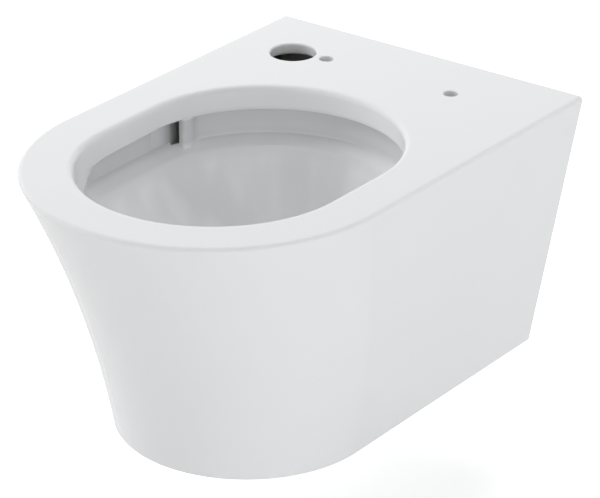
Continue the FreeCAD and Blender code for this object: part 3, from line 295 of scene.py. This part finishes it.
trap_bend, trap_low, trap_crest = 0.040, -0.161, -0.058
rise_line, crest_end, outlet_height = -0.150, -0.110, -0.100
outlet_root, outlet_end, outlet_bore = -0.084, -0.048, 0.043


def trap_stations(start, growth, horn_growth, end_growth, end):
    """Middle line of the trapway: in from the sump, up, over the crest, down to the spigot."""
    stations = [(start, trap_low, 0.027 + growth, -math.pi / 2)]
    for step in range(13):
        bend = math.pi / 2 * step / 12
        stations.append((rise_line - trap_bend + trap_bend * math.sin(bend),
                         trap_low + trap_bend - trap_bend * math.cos(bend),
                         0.027 + growth, bend - math.pi / 2))
    for step in range(13):
        bend = math.pi / 2 * step / 12
        stations.append((crest_end - trap_bend * math.cos(bend),
                         trap_crest - trap_bend + trap_bend * math.sin(bend),
                         0.027 + growth, -bend))
    for step in range(1, 13):
        t = step / 12
        ease = t * t * (3 - 2 * t)
        wall = growth + (end_growth - growth) * t + horn_growth * 4 * t * (1 - t)
        stations.append((crest_end + (outlet_root - crest_end) * t,
                         trap_crest + (outlet_height - trap_crest) * ease,
                         0.027 + (outlet_bore - 0.027) * ease + wall, -math.pi / 2))
    stations.append((end, outlet_height, outlet_bore + end_growth, -math.pi / 2))
    return stations


work(hollow, pipe("casing", trap_stations(-0.232, 0.010, 0.004, 0.008, outlet_end)), "DIFFERENCE")


def on_ring(radius, angle):
    """A point about the middle of the mouth's round back, at an angle in degrees."""
    angle = math.radians(angle)
    return radius * math.cos(angle), mouth_centre + radius * math.sin(angle)


def ring_arc(radius, start, end, steps=48):
    """Points on an arc about the same middle."""
    return [on_ring(radius, start + (end - start) * step / steps) for step in range(steps + 1)]


work(hollow, raised_outline(
    "channel_casing", ring_arc(0.1675, 70, 166) + ring_arc(0.150, 166, 70), 0.014, into_deck),
    "DIFFERENCE")
socket_line = 0.035
work(hollow, tube("socket", -0.048, -0.120, socket_line, 0.037), "DIFFERENCE")
seat_x, seat_y, boss_low, boss_radius = 0.0775, -0.072, 0.053, 0.016
lug_inner, lug_low, lug_back = 0.036, -0.030, -0.014
for side in (1, -1):
    for name, outer, front in (("rib", 0.048, -0.150), ("lug", 0.186, -0.026)):
        work(hollow, block(name, side, (lug_inner, front, lug_low), (outer, lug_back, into_deck)),
             "DIFFERENCE")
    work(hollow, turned("boss", side * seat_x, seat_y,
                        [(boss_low, boss_radius), (into_deck, boss_radius)]), "DIFFERENCE")


def nodes_of(name):
    """A fresh material with its shader and a way to add joined nodes."""
    material = bpy.data.materials.new(name)
    material.use_nodes = True
    tree = material.node_tree
    shader = tree.nodes["Principled BSDF"]

    def add(kind, inputs=(), **settings):
        node = tree.nodes.new(kind)
        for key, value in settings.items():
            setattr(node, key, value)
        for socket, value in dict(inputs).items():
            if hasattr(value, "is_output"):
                tree.links.new(value, node.inputs[socket])
            else:
                node.inputs[socket].default_value = value
        return node

    return material, shader, tree.links, add


def glaze():
    """White gloss glaze: a faint cool cloudiness, an almost level surface and a sharp shine."""
    material, shader, links, add = nodes_of("glazed_china")
    place = add("ShaderNodeTexCoord").outputs["Object"]
    cloud = add("ShaderNodeTexNoise", {"Vector": place, "Scale": 9, "Detail": 2})
    tone = add("ShaderNodeMix", {"Factor": cloud.outputs["Fac"], "A": (0.865, 0.875, 0.885, 1),
                                 "B": (0.880, 0.888, 0.896, 1)}, data_type="RGBA")
    # painted reflection: faint paler streaks down the bowl stand in for the lamps mirrored in its
    # glaze
    spot = add("ShaderNodeSeparateXYZ", {"Vector": place})
    surface = add("ShaderNodeNewGeometry")
    facing = add("ShaderNodeSeparateXYZ", {"Vector": surface.outputs["Normal"]})
    below = add("ShaderNodeMapRange", {"Value": spot.outputs["Z"], "From Min": 0.016,
                                       "From Max": 0.004})
    upward = add("ShaderNodeMapRange", {"Value": facing.outputs["Z"], "From Min": 0.05,
                                        "From Max": 0.2})
    in_bowl = add("ShaderNodeMath", {0: below.outputs["Result"], 1: upward.outputs["Result"]},
                  operation="MULTIPLY")
    fall = add("ShaderNodeMapping", {"Vector": place, "Scale": (1, 1, 0.12)})
    reflection_noise = add("ShaderNodeTexNoise", {"Vector": fall.outputs["Vector"], "Scale": 26, "Detail": 1})
    painted_reflection_streak = add("ShaderNodeMapRange", {"Value": reflection_noise.outputs["Fac"], "From Min": 0.42,
                                        "From Max": 0.68, "To Min": 0.25},
                 interpolation_type="SMOOTHSTEP")
    share = add("ShaderNodeMath", {0: in_bowl.outputs[0], 1: painted_reflection_streak.outputs["Result"]},
                operation="MULTIPLY")
    tone = add("ShaderNodeMix", {"Factor": share.outputs[0], "A": tone.outputs["Result"],
                                 "B": (0.96, 0.965, 0.97, 1)}, data_type="RGBA")
    links.new(tone.outputs["Result"], shader.inputs["Base Color"])
    # painted shade: the groove behind the lip is greyed, most just under the lip, up to where it
    # closes
    clamped = add("ShaderNodeClamp", {"Value": spot.outputs["Y"], "Min": front_centre,
                                      "Max": mouth_centre})
    past = add("ShaderNodeMath", {0: spot.outputs["Y"], 1: clamped.outputs[0]},
               operation="SUBTRACT")
    away = add("ShaderNodeCombineXYZ", {"X": spot.outputs["X"], "Y": past.outputs[0]})
    away = add("ShaderNodeVectorMath", {0: away.outputs[0]}, operation="LENGTH")
    share = add("ShaderNodeMapRange", {"Value": spot.outputs["Z"], "From Min": 0.036,
                                       "From Max": 0.052, "To Min": 0.75, "To Max": 1})
    for value, outside, inside in (
            (away.outputs["Value"], 0.1615, 0.157), (spot.outputs["Z"], 0.0535, 0.0515),
            (spot.outputs["Z"], 0.022, 0.030), (spot.outputs["Y"], -0.394, -0.372)):
        edge = add("ShaderNodeMapRange", {"Value": value, "From Min": outside, "From Max": inside},
                   interpolation_type="SMOOTHSTEP")
        share = add("ShaderNodeMath", {0: share.outputs[0], 1: edge.outputs[0]},
                    operation="MULTIPLY")
    # the grey that the groove's painted shade is mixed in with
    tone = add("ShaderNodeMix", {"Factor": share.outputs[0], "A": tone.outputs["Result"],
                                 "B": (0.66, 0.67, 0.685, 1)}, data_type="RGBA")
    links.new(tone.outputs["Result"], shader.inputs["Base Color"])
    gloss = add("ShaderNodeMapRange", {"Value": cloud.outputs["Fac"], "To Min": 0.07,
                                       "To Max": 0.12})
    links.new(gloss.outputs["Result"], shader.inputs["Roughness"])
    drift = add("ShaderNodeTexNoise", {"Vector": place, "Scale": 55, "Detail": 2})
    bump = add("ShaderNodeBump", {"Height": drift.outputs["Fac"], "Strength": 0.06,
                                  "Distance": 0.0006})
    links.new(bump.outputs["Normal"], shader.inputs["Normal"])
    shader.inputs["IOR"].default_value = 1.52
    return material


def raw_clay():
    """Bare fired clay inside the pan: warmer, dull, with the fine grain of the casting, and
    painted shade in the pocket under the deck.
    """
    material, shader, links, add = nodes_of("raw_clay")
    place = add("ShaderNodeTexCoord").outputs["Object"]
    stain = add("ShaderNodeTexNoise", {"Vector": place, "Scale": 22, "Detail": 4})
    tone = add("ShaderNodeMix", {"Factor": stain.outputs["Fac"], "A": (0.50, 0.49, 0.47, 1),
                                 "B": (0.60, 0.59, 0.57, 1)}, data_type="RGBA")
    # painted shade: the pocket under the deck is painted near black, as if in deep shadow
    spot = add("ShaderNodeSeparateXYZ", {"Vector": place})
    pocket_shade = add("ShaderNodeMapRange", {"Value": spot.outputs["Z"], "From Min": 0.0,
                                        "From Max": 0.03})
    before_lugs = add("ShaderNodeMapRange", {"Value": spot.outputs["Y"], "From Min": -0.0262,
                                             "From Max": -0.0300})
    pocket_shade = add("ShaderNodeMath", {0: pocket_shade.outputs["Result"], 1: before_lugs.outputs["Result"]},
                 operation="MULTIPLY")
    tone = add("ShaderNodeMix", {"Factor": pocket_shade.outputs[0], "A": tone.outputs["Result"],
                                 "B": (0.09, 0.09, 0.09, 1)}, data_type="RGBA")
    links.new(tone.outputs["Result"], shader.inputs["Base Color"])
    grain = add("ShaderNodeTexNoise", {"Vector": place, "Scale": 900, "Detail": 3})
    bump = add("ShaderNodeBump", {"Height": grain.outputs["Fac"], "Strength": 0.3,
                                  "Distance": 0.0004})
    links.new(bump.outputs["Normal"], shader.inputs["Normal"])
    shader.inputs["Roughness"].default_value = 0.75
    return material


china.data.materials.append(glaze())
hollow.data.materials.clear()
hollow.data.materials.append(raw_clay())
for face in hollow.data.polygons:
    face.material_index = 0
work(china, hollow, "DIFFERENCE")

# the back wall fills the groove from the flush outlet at the left round to the right side
wall_inner, recess_inner, wall_outer = 0.1375, 0.1445, 0.154
end_face, end_round, run_out = -0.238, 0.004, -0.335
corner_y = end_face + end_round
corner_x = -math.sqrt((wall_inner + end_round) ** 2 - (corner_y - mouth_centre) ** 2)
corner_turn = math.degrees(math.atan2(corner_y - mouth_centre, corner_x))
face_turn = math.degrees(math.acos(-math.sqrt(wall_outer ** 2 - (end_face - mouth_centre) ** 2)
                                   / wall_outer))
touch = math.degrees(math.asin((wall_outer - recess_inner)
                               / math.hypot(wall_outer, mouth_centre - run_out)))
corner_arc = [(corner_x + end_round * math.cos(math.radians(angle)),
               corner_y + end_round * math.sin(math.radians(angle)))
              for angle in (270 + (90 + corner_turn - 180) * step / 8 for step in range(9))]
# the wall stands forward beside the outlet and eases back into the recess
block_end, block_ease, ease_steps = corner_turn - 1.5, 6.5, 10
back_wall = raised_outline(
    "back_wall",
    ring_arc(wall_outer, 0, face_turn) + corner_arc
    + ring_arc(wall_inner, corner_turn, block_end, 4)[1:-1]
    + [on_ring(recess_inner + (wall_inner - recess_inner)
               * (0.5 + 0.5 * math.cos(math.pi * step / ease_steps)),
               block_end - block_ease * step / ease_steps) for step in range(ease_steps + 1)]
    + ring_arc(recess_inner, block_end - block_ease, -touch)[1:] + [(wall_outer, run_out)],
    0.0155, lip_low + 0.0015)
back_wall.data.materials.append(china.data.materials[0])
work(china, back_wall, "UNION")


def inner_glaze():
    """The glaze in the flush channel, greyer than the pan's, with painted shade that darkens it
    away from the outlet.
    """
    material, shader, links, add = nodes_of("channel_painted_shade")
    place = add("ShaderNodeTexCoord").outputs["Object"]
    depth = add("ShaderNodeSeparateXYZ", {"Vector": place})
    share = add("ShaderNodeMapRange", {"Value": depth.outputs["Y"], "From Min": -0.262,
                                       "From Max": -0.236}, interpolation_type="SMOOTHSTEP")
    cloud = add("ShaderNodeTexNoise", {"Vector": place, "Scale": 60, "Detail": 3})
    # painted shade: pale grey at the outlet, near black deeper in the channel
    dark = add("ShaderNodeMix", {"Factor": cloud.outputs["Fac"], "A": (0.23, 0.23, 0.23, 1),
                                 "B": (0.30, 0.30, 0.295, 1)}, data_type="RGBA")
    tone = add("ShaderNodeMix", {"Factor": share.outputs["Result"], "A": (0.70, 0.71, 0.72, 1),
                                 "B": dark.outputs["Result"]}, data_type="RGBA")
    links.new(tone.outputs["Result"], shader.inputs["Base Color"])
    shader.inputs["Roughness"].default_value = 0.35
    return material


# water ways: trapway and spigot, flush channel and inlet
channel_painted_shade = inner_glaze()
channel_inner, channel_outer, outlet_inner, outlet_outer = 0.1495, 0.160, 0.1435, 0.1482
for tool in (
        pipe("bore", trap_stations(-0.240, 0, 0, 0, outlet_end + 0.001)),
        raised_outline("channel", [
            *ring_arc(channel_outer, 78, 150),
            *(on_ring(channel_outer + (outlet_outer - channel_outer) * step / 8, 152 + step * 2)
              for step in range(9)),
            *ring_arc(outlet_inner, 168, 162, 3),
            *(on_ring(outlet_inner + (channel_inner - outlet_inner) * step / 6, 162 - step)
              for step in range(1, 7)),
            *ring_arc(channel_inner, 154, 78)], 0.0262, 0.0508),
        raised_outline("channel.approach",
                       ring_arc(outlet_outer, 167, 178) + ring_arc(0.1460, 178, 167),
                       0.0282, 0.0515),
        tube("inlet", -0.047, -0.090, socket_line, 0.0275),
        tube("throat", -0.089, -0.124, socket_line, 0.0135)):
    tool.data.materials.append(channel_painted_shade if tool.name.startswith("channel")
                               else china.data.materials[0])
    work(china, tool, "DIFFERENCE")


def flared(radius, edge, bottom):
    """Height and radius of a hole through the deck with a rounded upper edge."""
    steps = [(rim_height - fall, radius + inset)
             for fall, inset in (quarter(edge, turn) for turn in (0, 30, 60, 90))]
    return [(bottom, radius), *steps, (rim_height + 0.002, radius + edge)]


# holes for the seat's bolts, the windows that the wall arms pass through, and the hose port
window_half, hose_x, hose_y = 0.0192, -0.116, -0.078
counterbore = [(0.052, 0.011), (under_deck, 0.011)]
for side in (1, -1):
    for profile in (flared(0.0072, 0.0014, 0.060), counterbore):
        tool = turned("seat_hole", side * seat_x, seat_y, profile)
        tool.data.materials.append(china.data.materials[0])
        work(china, tool, "DIFFERENCE")
    tool = block("window", side, (0.0598, -0.027, -window_half), (0.1082, -0.013, window_half))
    tool.data.materials.append(china.data.materials[-1])
    work(china, tool, "DIFFERENCE")
for profile in (flared(0.0238, 0.0022, 0.050), [(0.050, 0.028), (0.070, 0.028)]):
    tool = turned("hose_port", hose_x, hose_y, profile)
    tool.data.materials.append(china.data.materials[0])
    work(china, tool, "DIFFERENCE")

# smooth, with the creases kept and the wide flat faces leading the shading
bpy.ops.object.select_all(action="DESELECT")
china.select_set(True)
bpy.context.view_layer.objects.active = china
bpy.ops.object.shade_smooth_by_angle(angle=math.radians(34))
even = china.modifiers.new("even", "WEIGHTED_NORMAL")
even.keep_sharp = True
bpy.ops.object.modifier_apply(modifier=even.name)
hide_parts("skirt", "rim_deck", "bowl", "trapway", "flush_channel",
            "hanger_right", "hanger_left")
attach(china, "root")

# ---------------------------------------------------------------------------
# Wall arms. Each is an iron casting with a grey powder coat, which lies on the metal
# like fine orange peel. It slides on the wall stud and carries the pan by its window.


def dress(kind, material):
    """Give the CAD part of this kind on each side its finish."""
    for side in ("right", "left"):
        for place in bpy.data.objects[f"{kind}_{side}"].material_slots:
            place.material = material


def mottled(name, dark, pale, scale, gloss, metal=0.0):
    """A finish that drifts between two tones and two degrees of gloss, with its nodes."""
    material, shader, links, add = nodes_of(name)
    place = add("ShaderNodeTexCoord").outputs["Object"]
    drift = add("ShaderNodeTexNoise", {"Vector": place, "Scale": scale, "Detail": 3})
    tone = add("ShaderNodeMix", {"Factor": drift.outputs["Fac"], "A": (*dark, 1), "B": (*pale, 1)},
               data_type="RGBA")
    links.new(tone.outputs["Result"], shader.inputs["Base Color"])
    rough = add("ShaderNodeMapRange", {"Value": drift.outputs["Fac"], "To Min": gloss[0],
                                       "To Max": gloss[1]})
    links.new(rough.outputs["Result"], shader.inputs["Roughness"])
    shader.inputs["Metallic"].default_value = metal
    return material, shader, links, add, place


def raise_by(shader, links, add, height, strength, distance):
    """Let a pattern stand out of the surface."""
    bump = add("ShaderNodeBump", {"Height": height, "Strength": strength, "Distance": distance})
    links.new(bump.outputs["Normal"], shader.inputs["Normal"])


material, shader, links, add, place = mottled(
    "bracket_coat", (0.28, 0.29, 0.30), (0.38, 0.39, 0.40), 35, (0.42, 0.6))
peel = add("ShaderNodeTexNoise", {"Vector": place, "Scale": 420, "Detail": 2})
raise_by(shader, links, add, peel.outputs["Fac"], 0.5, 0.0003)
dress("wall_bracket", material)

# ---------------------------------------------------------------------------
# Arm liners. Each is a pale moulded sleeve that keeps the iron off the china. Its mould
# was spark eroded, which leaves a fine even grain.

material, shader, links, add, place = mottled(
    "liner_moulding", (0.71, 0.72, 0.71), (0.79, 0.80, 0.79), 60, (0.5, 0.65))
grain = add("ShaderNodeTexNoise", {"Vector": place, "Scale": 1600, "Detail": 2})
raise_by(shader, links, add, grain.outputs["Fac"], 0.35, 0.0001)
shader.inputs["Subsurface Weight"].default_value = 0.05
dress("bracket_liner", material)

# ---------------------------------------------------------------------------
# Washers. Each is stamped from strip and zinc plated, so its faces show the small
# crystals of the plating.

material, shader, links, add, place = mottled(
    "washer_zinc", (0.60, 0.61, 0.63), (0.72, 0.73, 0.73), 180, (0.28, 0.42), metal=1.0)
crystal = add("ShaderNodeTexVoronoi", {"Vector": place, "Scale": 700})
raise_by(shader, links, add, crystal.outputs["Distance"], 0.25, 0.0001)
dress("stud_washer", material)

# ---------------------------------------------------------------------------
# Stud nuts. Each is cold formed, faced on a lathe and zinc plated, so fine rings run
# round the stud's line.

material, shader, links, add, place = mottled(
    "nut_zinc", (0.58, 0.59, 0.61), (0.70, 0.71, 0.72), 120, (0.22, 0.38), metal=1.0)
lathe = add("ShaderNodeTexWave", {"Vector": place, "Scale": 900, "Distortion": 0.4},
            bands_direction="Y")
raise_by(shader, links, add, lathe.outputs["Fac"], 0.2, 0.00005)
dress("stud_nut", material)

# ---------------------------------------------------------------------------
# Deck bushes. Each is moulded in black nylon with a hex flange that sits in the china's
# counterbore, and its skin is slightly mottled where the nylon has taken up water.

material, shader, links, add, place = mottled(
    "bush_nylon", (0.095, 0.095, 0.10), (0.145, 0.145, 0.155), 90, (0.4, 0.55))
grain = add("ShaderNodeTexNoise", {"Vector": place, "Scale": 1300, "Detail": 2})
raise_by(shader, links, add, grain.outputs["Fac"], 0.3, 0.0001)
dress("deck_bush", material)

# ---------------------------------------------------------------------------
# Thread inserts. Each is turned from hex bar and yellow passivated, so its straw colour
# wanders towards green and rose, over the rings that the lathe left.

material, shader, links, add, place = mottled(
    "insert_passivated", (0.66, 0.68, 0.46), (0.76, 0.62, 0.52), 75, (0.25, 0.4), metal=1.0)
lathe = add("ShaderNodeTexWave", {"Vector": place, "Scale": 1100, "Distortion": 0.5},
            bands_direction="Z")
raise_by(shader, links, add, lathe.outputs["Fac"], 0.2, 0.00005)
dress("thread_insert", material)

# ---------------------------------------------------------------------------
# Clamp screws. Each is a long M10 set screw of plated steel with a rolled thread of
# 1.5 mm pitch, and its colour is darker in the thread's roots.

material, shader, links, add, place = mottled(
    "screw_plated", (0.46, 0.47, 0.49), (0.56, 0.57, 0.59), 150, (0.25, 0.4), metal=1.0)
pitch = 0.0015
thread = add("ShaderNodeTexWave", {"Vector": place, "Scale": 2 * math.pi / (20 * pitch)},
             bands_direction="Z")
raise_by(shader, links, add, thread.outputs["Fac"], 1.0, 0.0006)
tone = next(node for node in material.node_tree.nodes if node.bl_idname == "ShaderNodeMix")
root = add("ShaderNodeMapRange", {"Value": thread.outputs["Fac"], "From Max": 0.5})
root_darkened = add("ShaderNodeMix", {"Factor": root.outputs["Result"], "A": (0.30, 0.30, 0.31, 1),
                             "B": tone.outputs["Result"]}, data_type="RGBA")
links.new(root_darkened.outputs["Result"], shader.inputs["Base Color"])
dress("clamp_screw", material)

# ---------------------------------------------------------------------------
# Screw clips. Each is punched from blued spring steel and pushed on at the foot of the
# screw, and its heat colour runs from blue to brown.

material, shader, links, add, place = mottled(
    "clip_blued", (0.17, 0.19, 0.27), (0.31, 0.27, 0.24), 160, (0.3, 0.45), metal=1.0)
brush = add("ShaderNodeTexNoise", {"Vector": place, "Scale": 2200, "Detail": 1})
raise_by(shader, links, add, brush.outputs["Fac"], 0.2, 0.00005)
dress("screw_clip", material)

# ---------------------------------------------------------------------------
# Clamp feet. Each is die cast and left as cast, with cloudy flow marks and a fine skin.
# The screw drives its slope down along the arm, which draws the pan to the wall.

material, shader, links, add, place = mottled(
    "foot_as_cast", (0.54, 0.55, 0.56), (0.65, 0.66, 0.67), 70, (0.38, 0.55), metal=1.0)
skin = add("ShaderNodeTexNoise", {"Vector": place, "Scale": 800, "Detail": 3})
raise_by(shader, links, add, skin.outputs["Fac"], 0.35, 0.0001)
dress("clamp_foot", material)

# ---------------------------------------------------------------------------
# Floor, light and camera. The pan hangs over a plain pale floor in a white studio, lit by
# soft lamps. The floor shows white to the camera, with the pan's faint shadow on it.

bpy.ops.object.select_all(action="DESELECT")
bpy.ops.mesh.primitive_plane_add(size=14, location=(0, 0, -0.321))
floor = bpy.context.object
floor.name = "floor"
material, shader, links, add = nodes_of("pale_floor")
shader.inputs["Base Color"].default_value = (0.86, 0.86, 0.86, 1)
shader.inputs["Roughness"].default_value = 0.9
path = add("ShaderNodeLightPath")
glow = add("ShaderNodeEmission", {"Color": (1, 1, 1, 1), "Strength": 0.5})
both = add("ShaderNodeAddShader", {0: shader.outputs[0], 1: glow.outputs[0]})
seen = add("ShaderNodeMixShader", {0: path.outputs["Is Camera Ray"], 1: shader.outputs[0],
                                   2: both.outputs[0]})
links.new(seen.outputs[0], material.node_tree.nodes["Material Output"].inputs["Surface"])
floor.data.materials.append(material)

world = bpy.data.worlds.new("studio")
bpy.context.scene.world = world
world.use_nodes = True
tree = world.node_tree
path = tree.nodes.new("ShaderNodeLightPath")
shown = path.outputs["Is Camera Ray"]
for ray in ("Is Glossy Ray", "Is Transmission Ray"):
    either = tree.nodes.new("ShaderNodeMath")
    either.operation = "MAXIMUM"
    tree.links.new(shown, either.inputs[0])
    tree.links.new(path.outputs[ray], either.inputs[1])
    shown = either.outputs[0]
# the studio's walls are brighter than its ceiling, which the bowl faces
direction = tree.nodes.new("ShaderNodeTexCoord")
height = tree.nodes.new("ShaderNodeSeparateXYZ")
tree.links.new(direction.outputs["Generated"], height.inputs[0])
ceiling = tree.nodes.new("ShaderNodeMapRange")
ceiling.interpolation_type = "SMOOTHSTEP"
for socket, value in (("From Min", 0), ("From Max", 0.5), ("To Min", 1.15), ("To Max", 0.38)):
    ceiling.inputs[socket].default_value = value
tree.links.new(height.outputs["Z"], ceiling.inputs["Value"])
brightness = tree.nodes.new("ShaderNodeMix")
tree.links.new(shown, brightness.inputs["Factor"])
tree.links.new(ceiling.outputs["Result"], brightness.inputs["A"])
brightness.inputs["B"].default_value = 1
tree.links.new(brightness.outputs["Result"], tree.nodes["Background"].inputs["Strength"])
tree.nodes["Background"].inputs["Color"].default_value = (1, 1, 1, 1)


def soft_lamp(name, place, aim, width, height, power):
    """A wide lamp that lights the pan but isn't mirrored in its glaze."""
    lamp = bpy.data.lights.new(name, "AREA")
    lamp.shape = "RECTANGLE"
    lamp.size, lamp.size_y, lamp.energy = width, height, power
    holder = bpy.data.objects.new(name, lamp)
    bpy.context.collection.objects.link(holder)
    holder.location = place
    holder.rotation_euler = (Vector(aim) - Vector(place)).to_track_quat("-Z", "Y").to_euler()
    holder.visible_glossy = False


middle = (0, -0.27, -0.06)
soft_lamp("left", (-2.9, -1.0, 2.0), middle, 1.9, 1.9, 50)
soft_lamp("rear_left", (-0.9, 1.9, 3.0), middle, 1.9, 1.9, 50)
soft_lamp("right_low", (3.2, -1.3, -0.1), middle, 2.2, 0.36, 24)

# the camera stands where the photograph's perspective was solved to be
camera = bpy.data.cameras.new("camera")
camera.lens, camera.sensor_width = 189.68, 36
camera.clip_start = 0.1
holder = bpy.data.objects.new("camera", camera)
bpy.context.collection.objects.link(holder)
azimuth, elevation, distance = math.radians(37.09), math.radians(25.304), 3.150
back = Vector((math.sin(azimuth) * math.cos(elevation), -math.cos(azimuth) * math.cos(elevation),
               math.sin(elevation)))
holder.location = Vector((0.0037, -0.2245, -0.0557)) + back * distance
holder.rotation_euler = (-back).to_track_quat("-Z", "Y").to_euler()
bpy.context.scene.camera = holder
bpy.context.scene.view_settings.view_transform = "Standard"
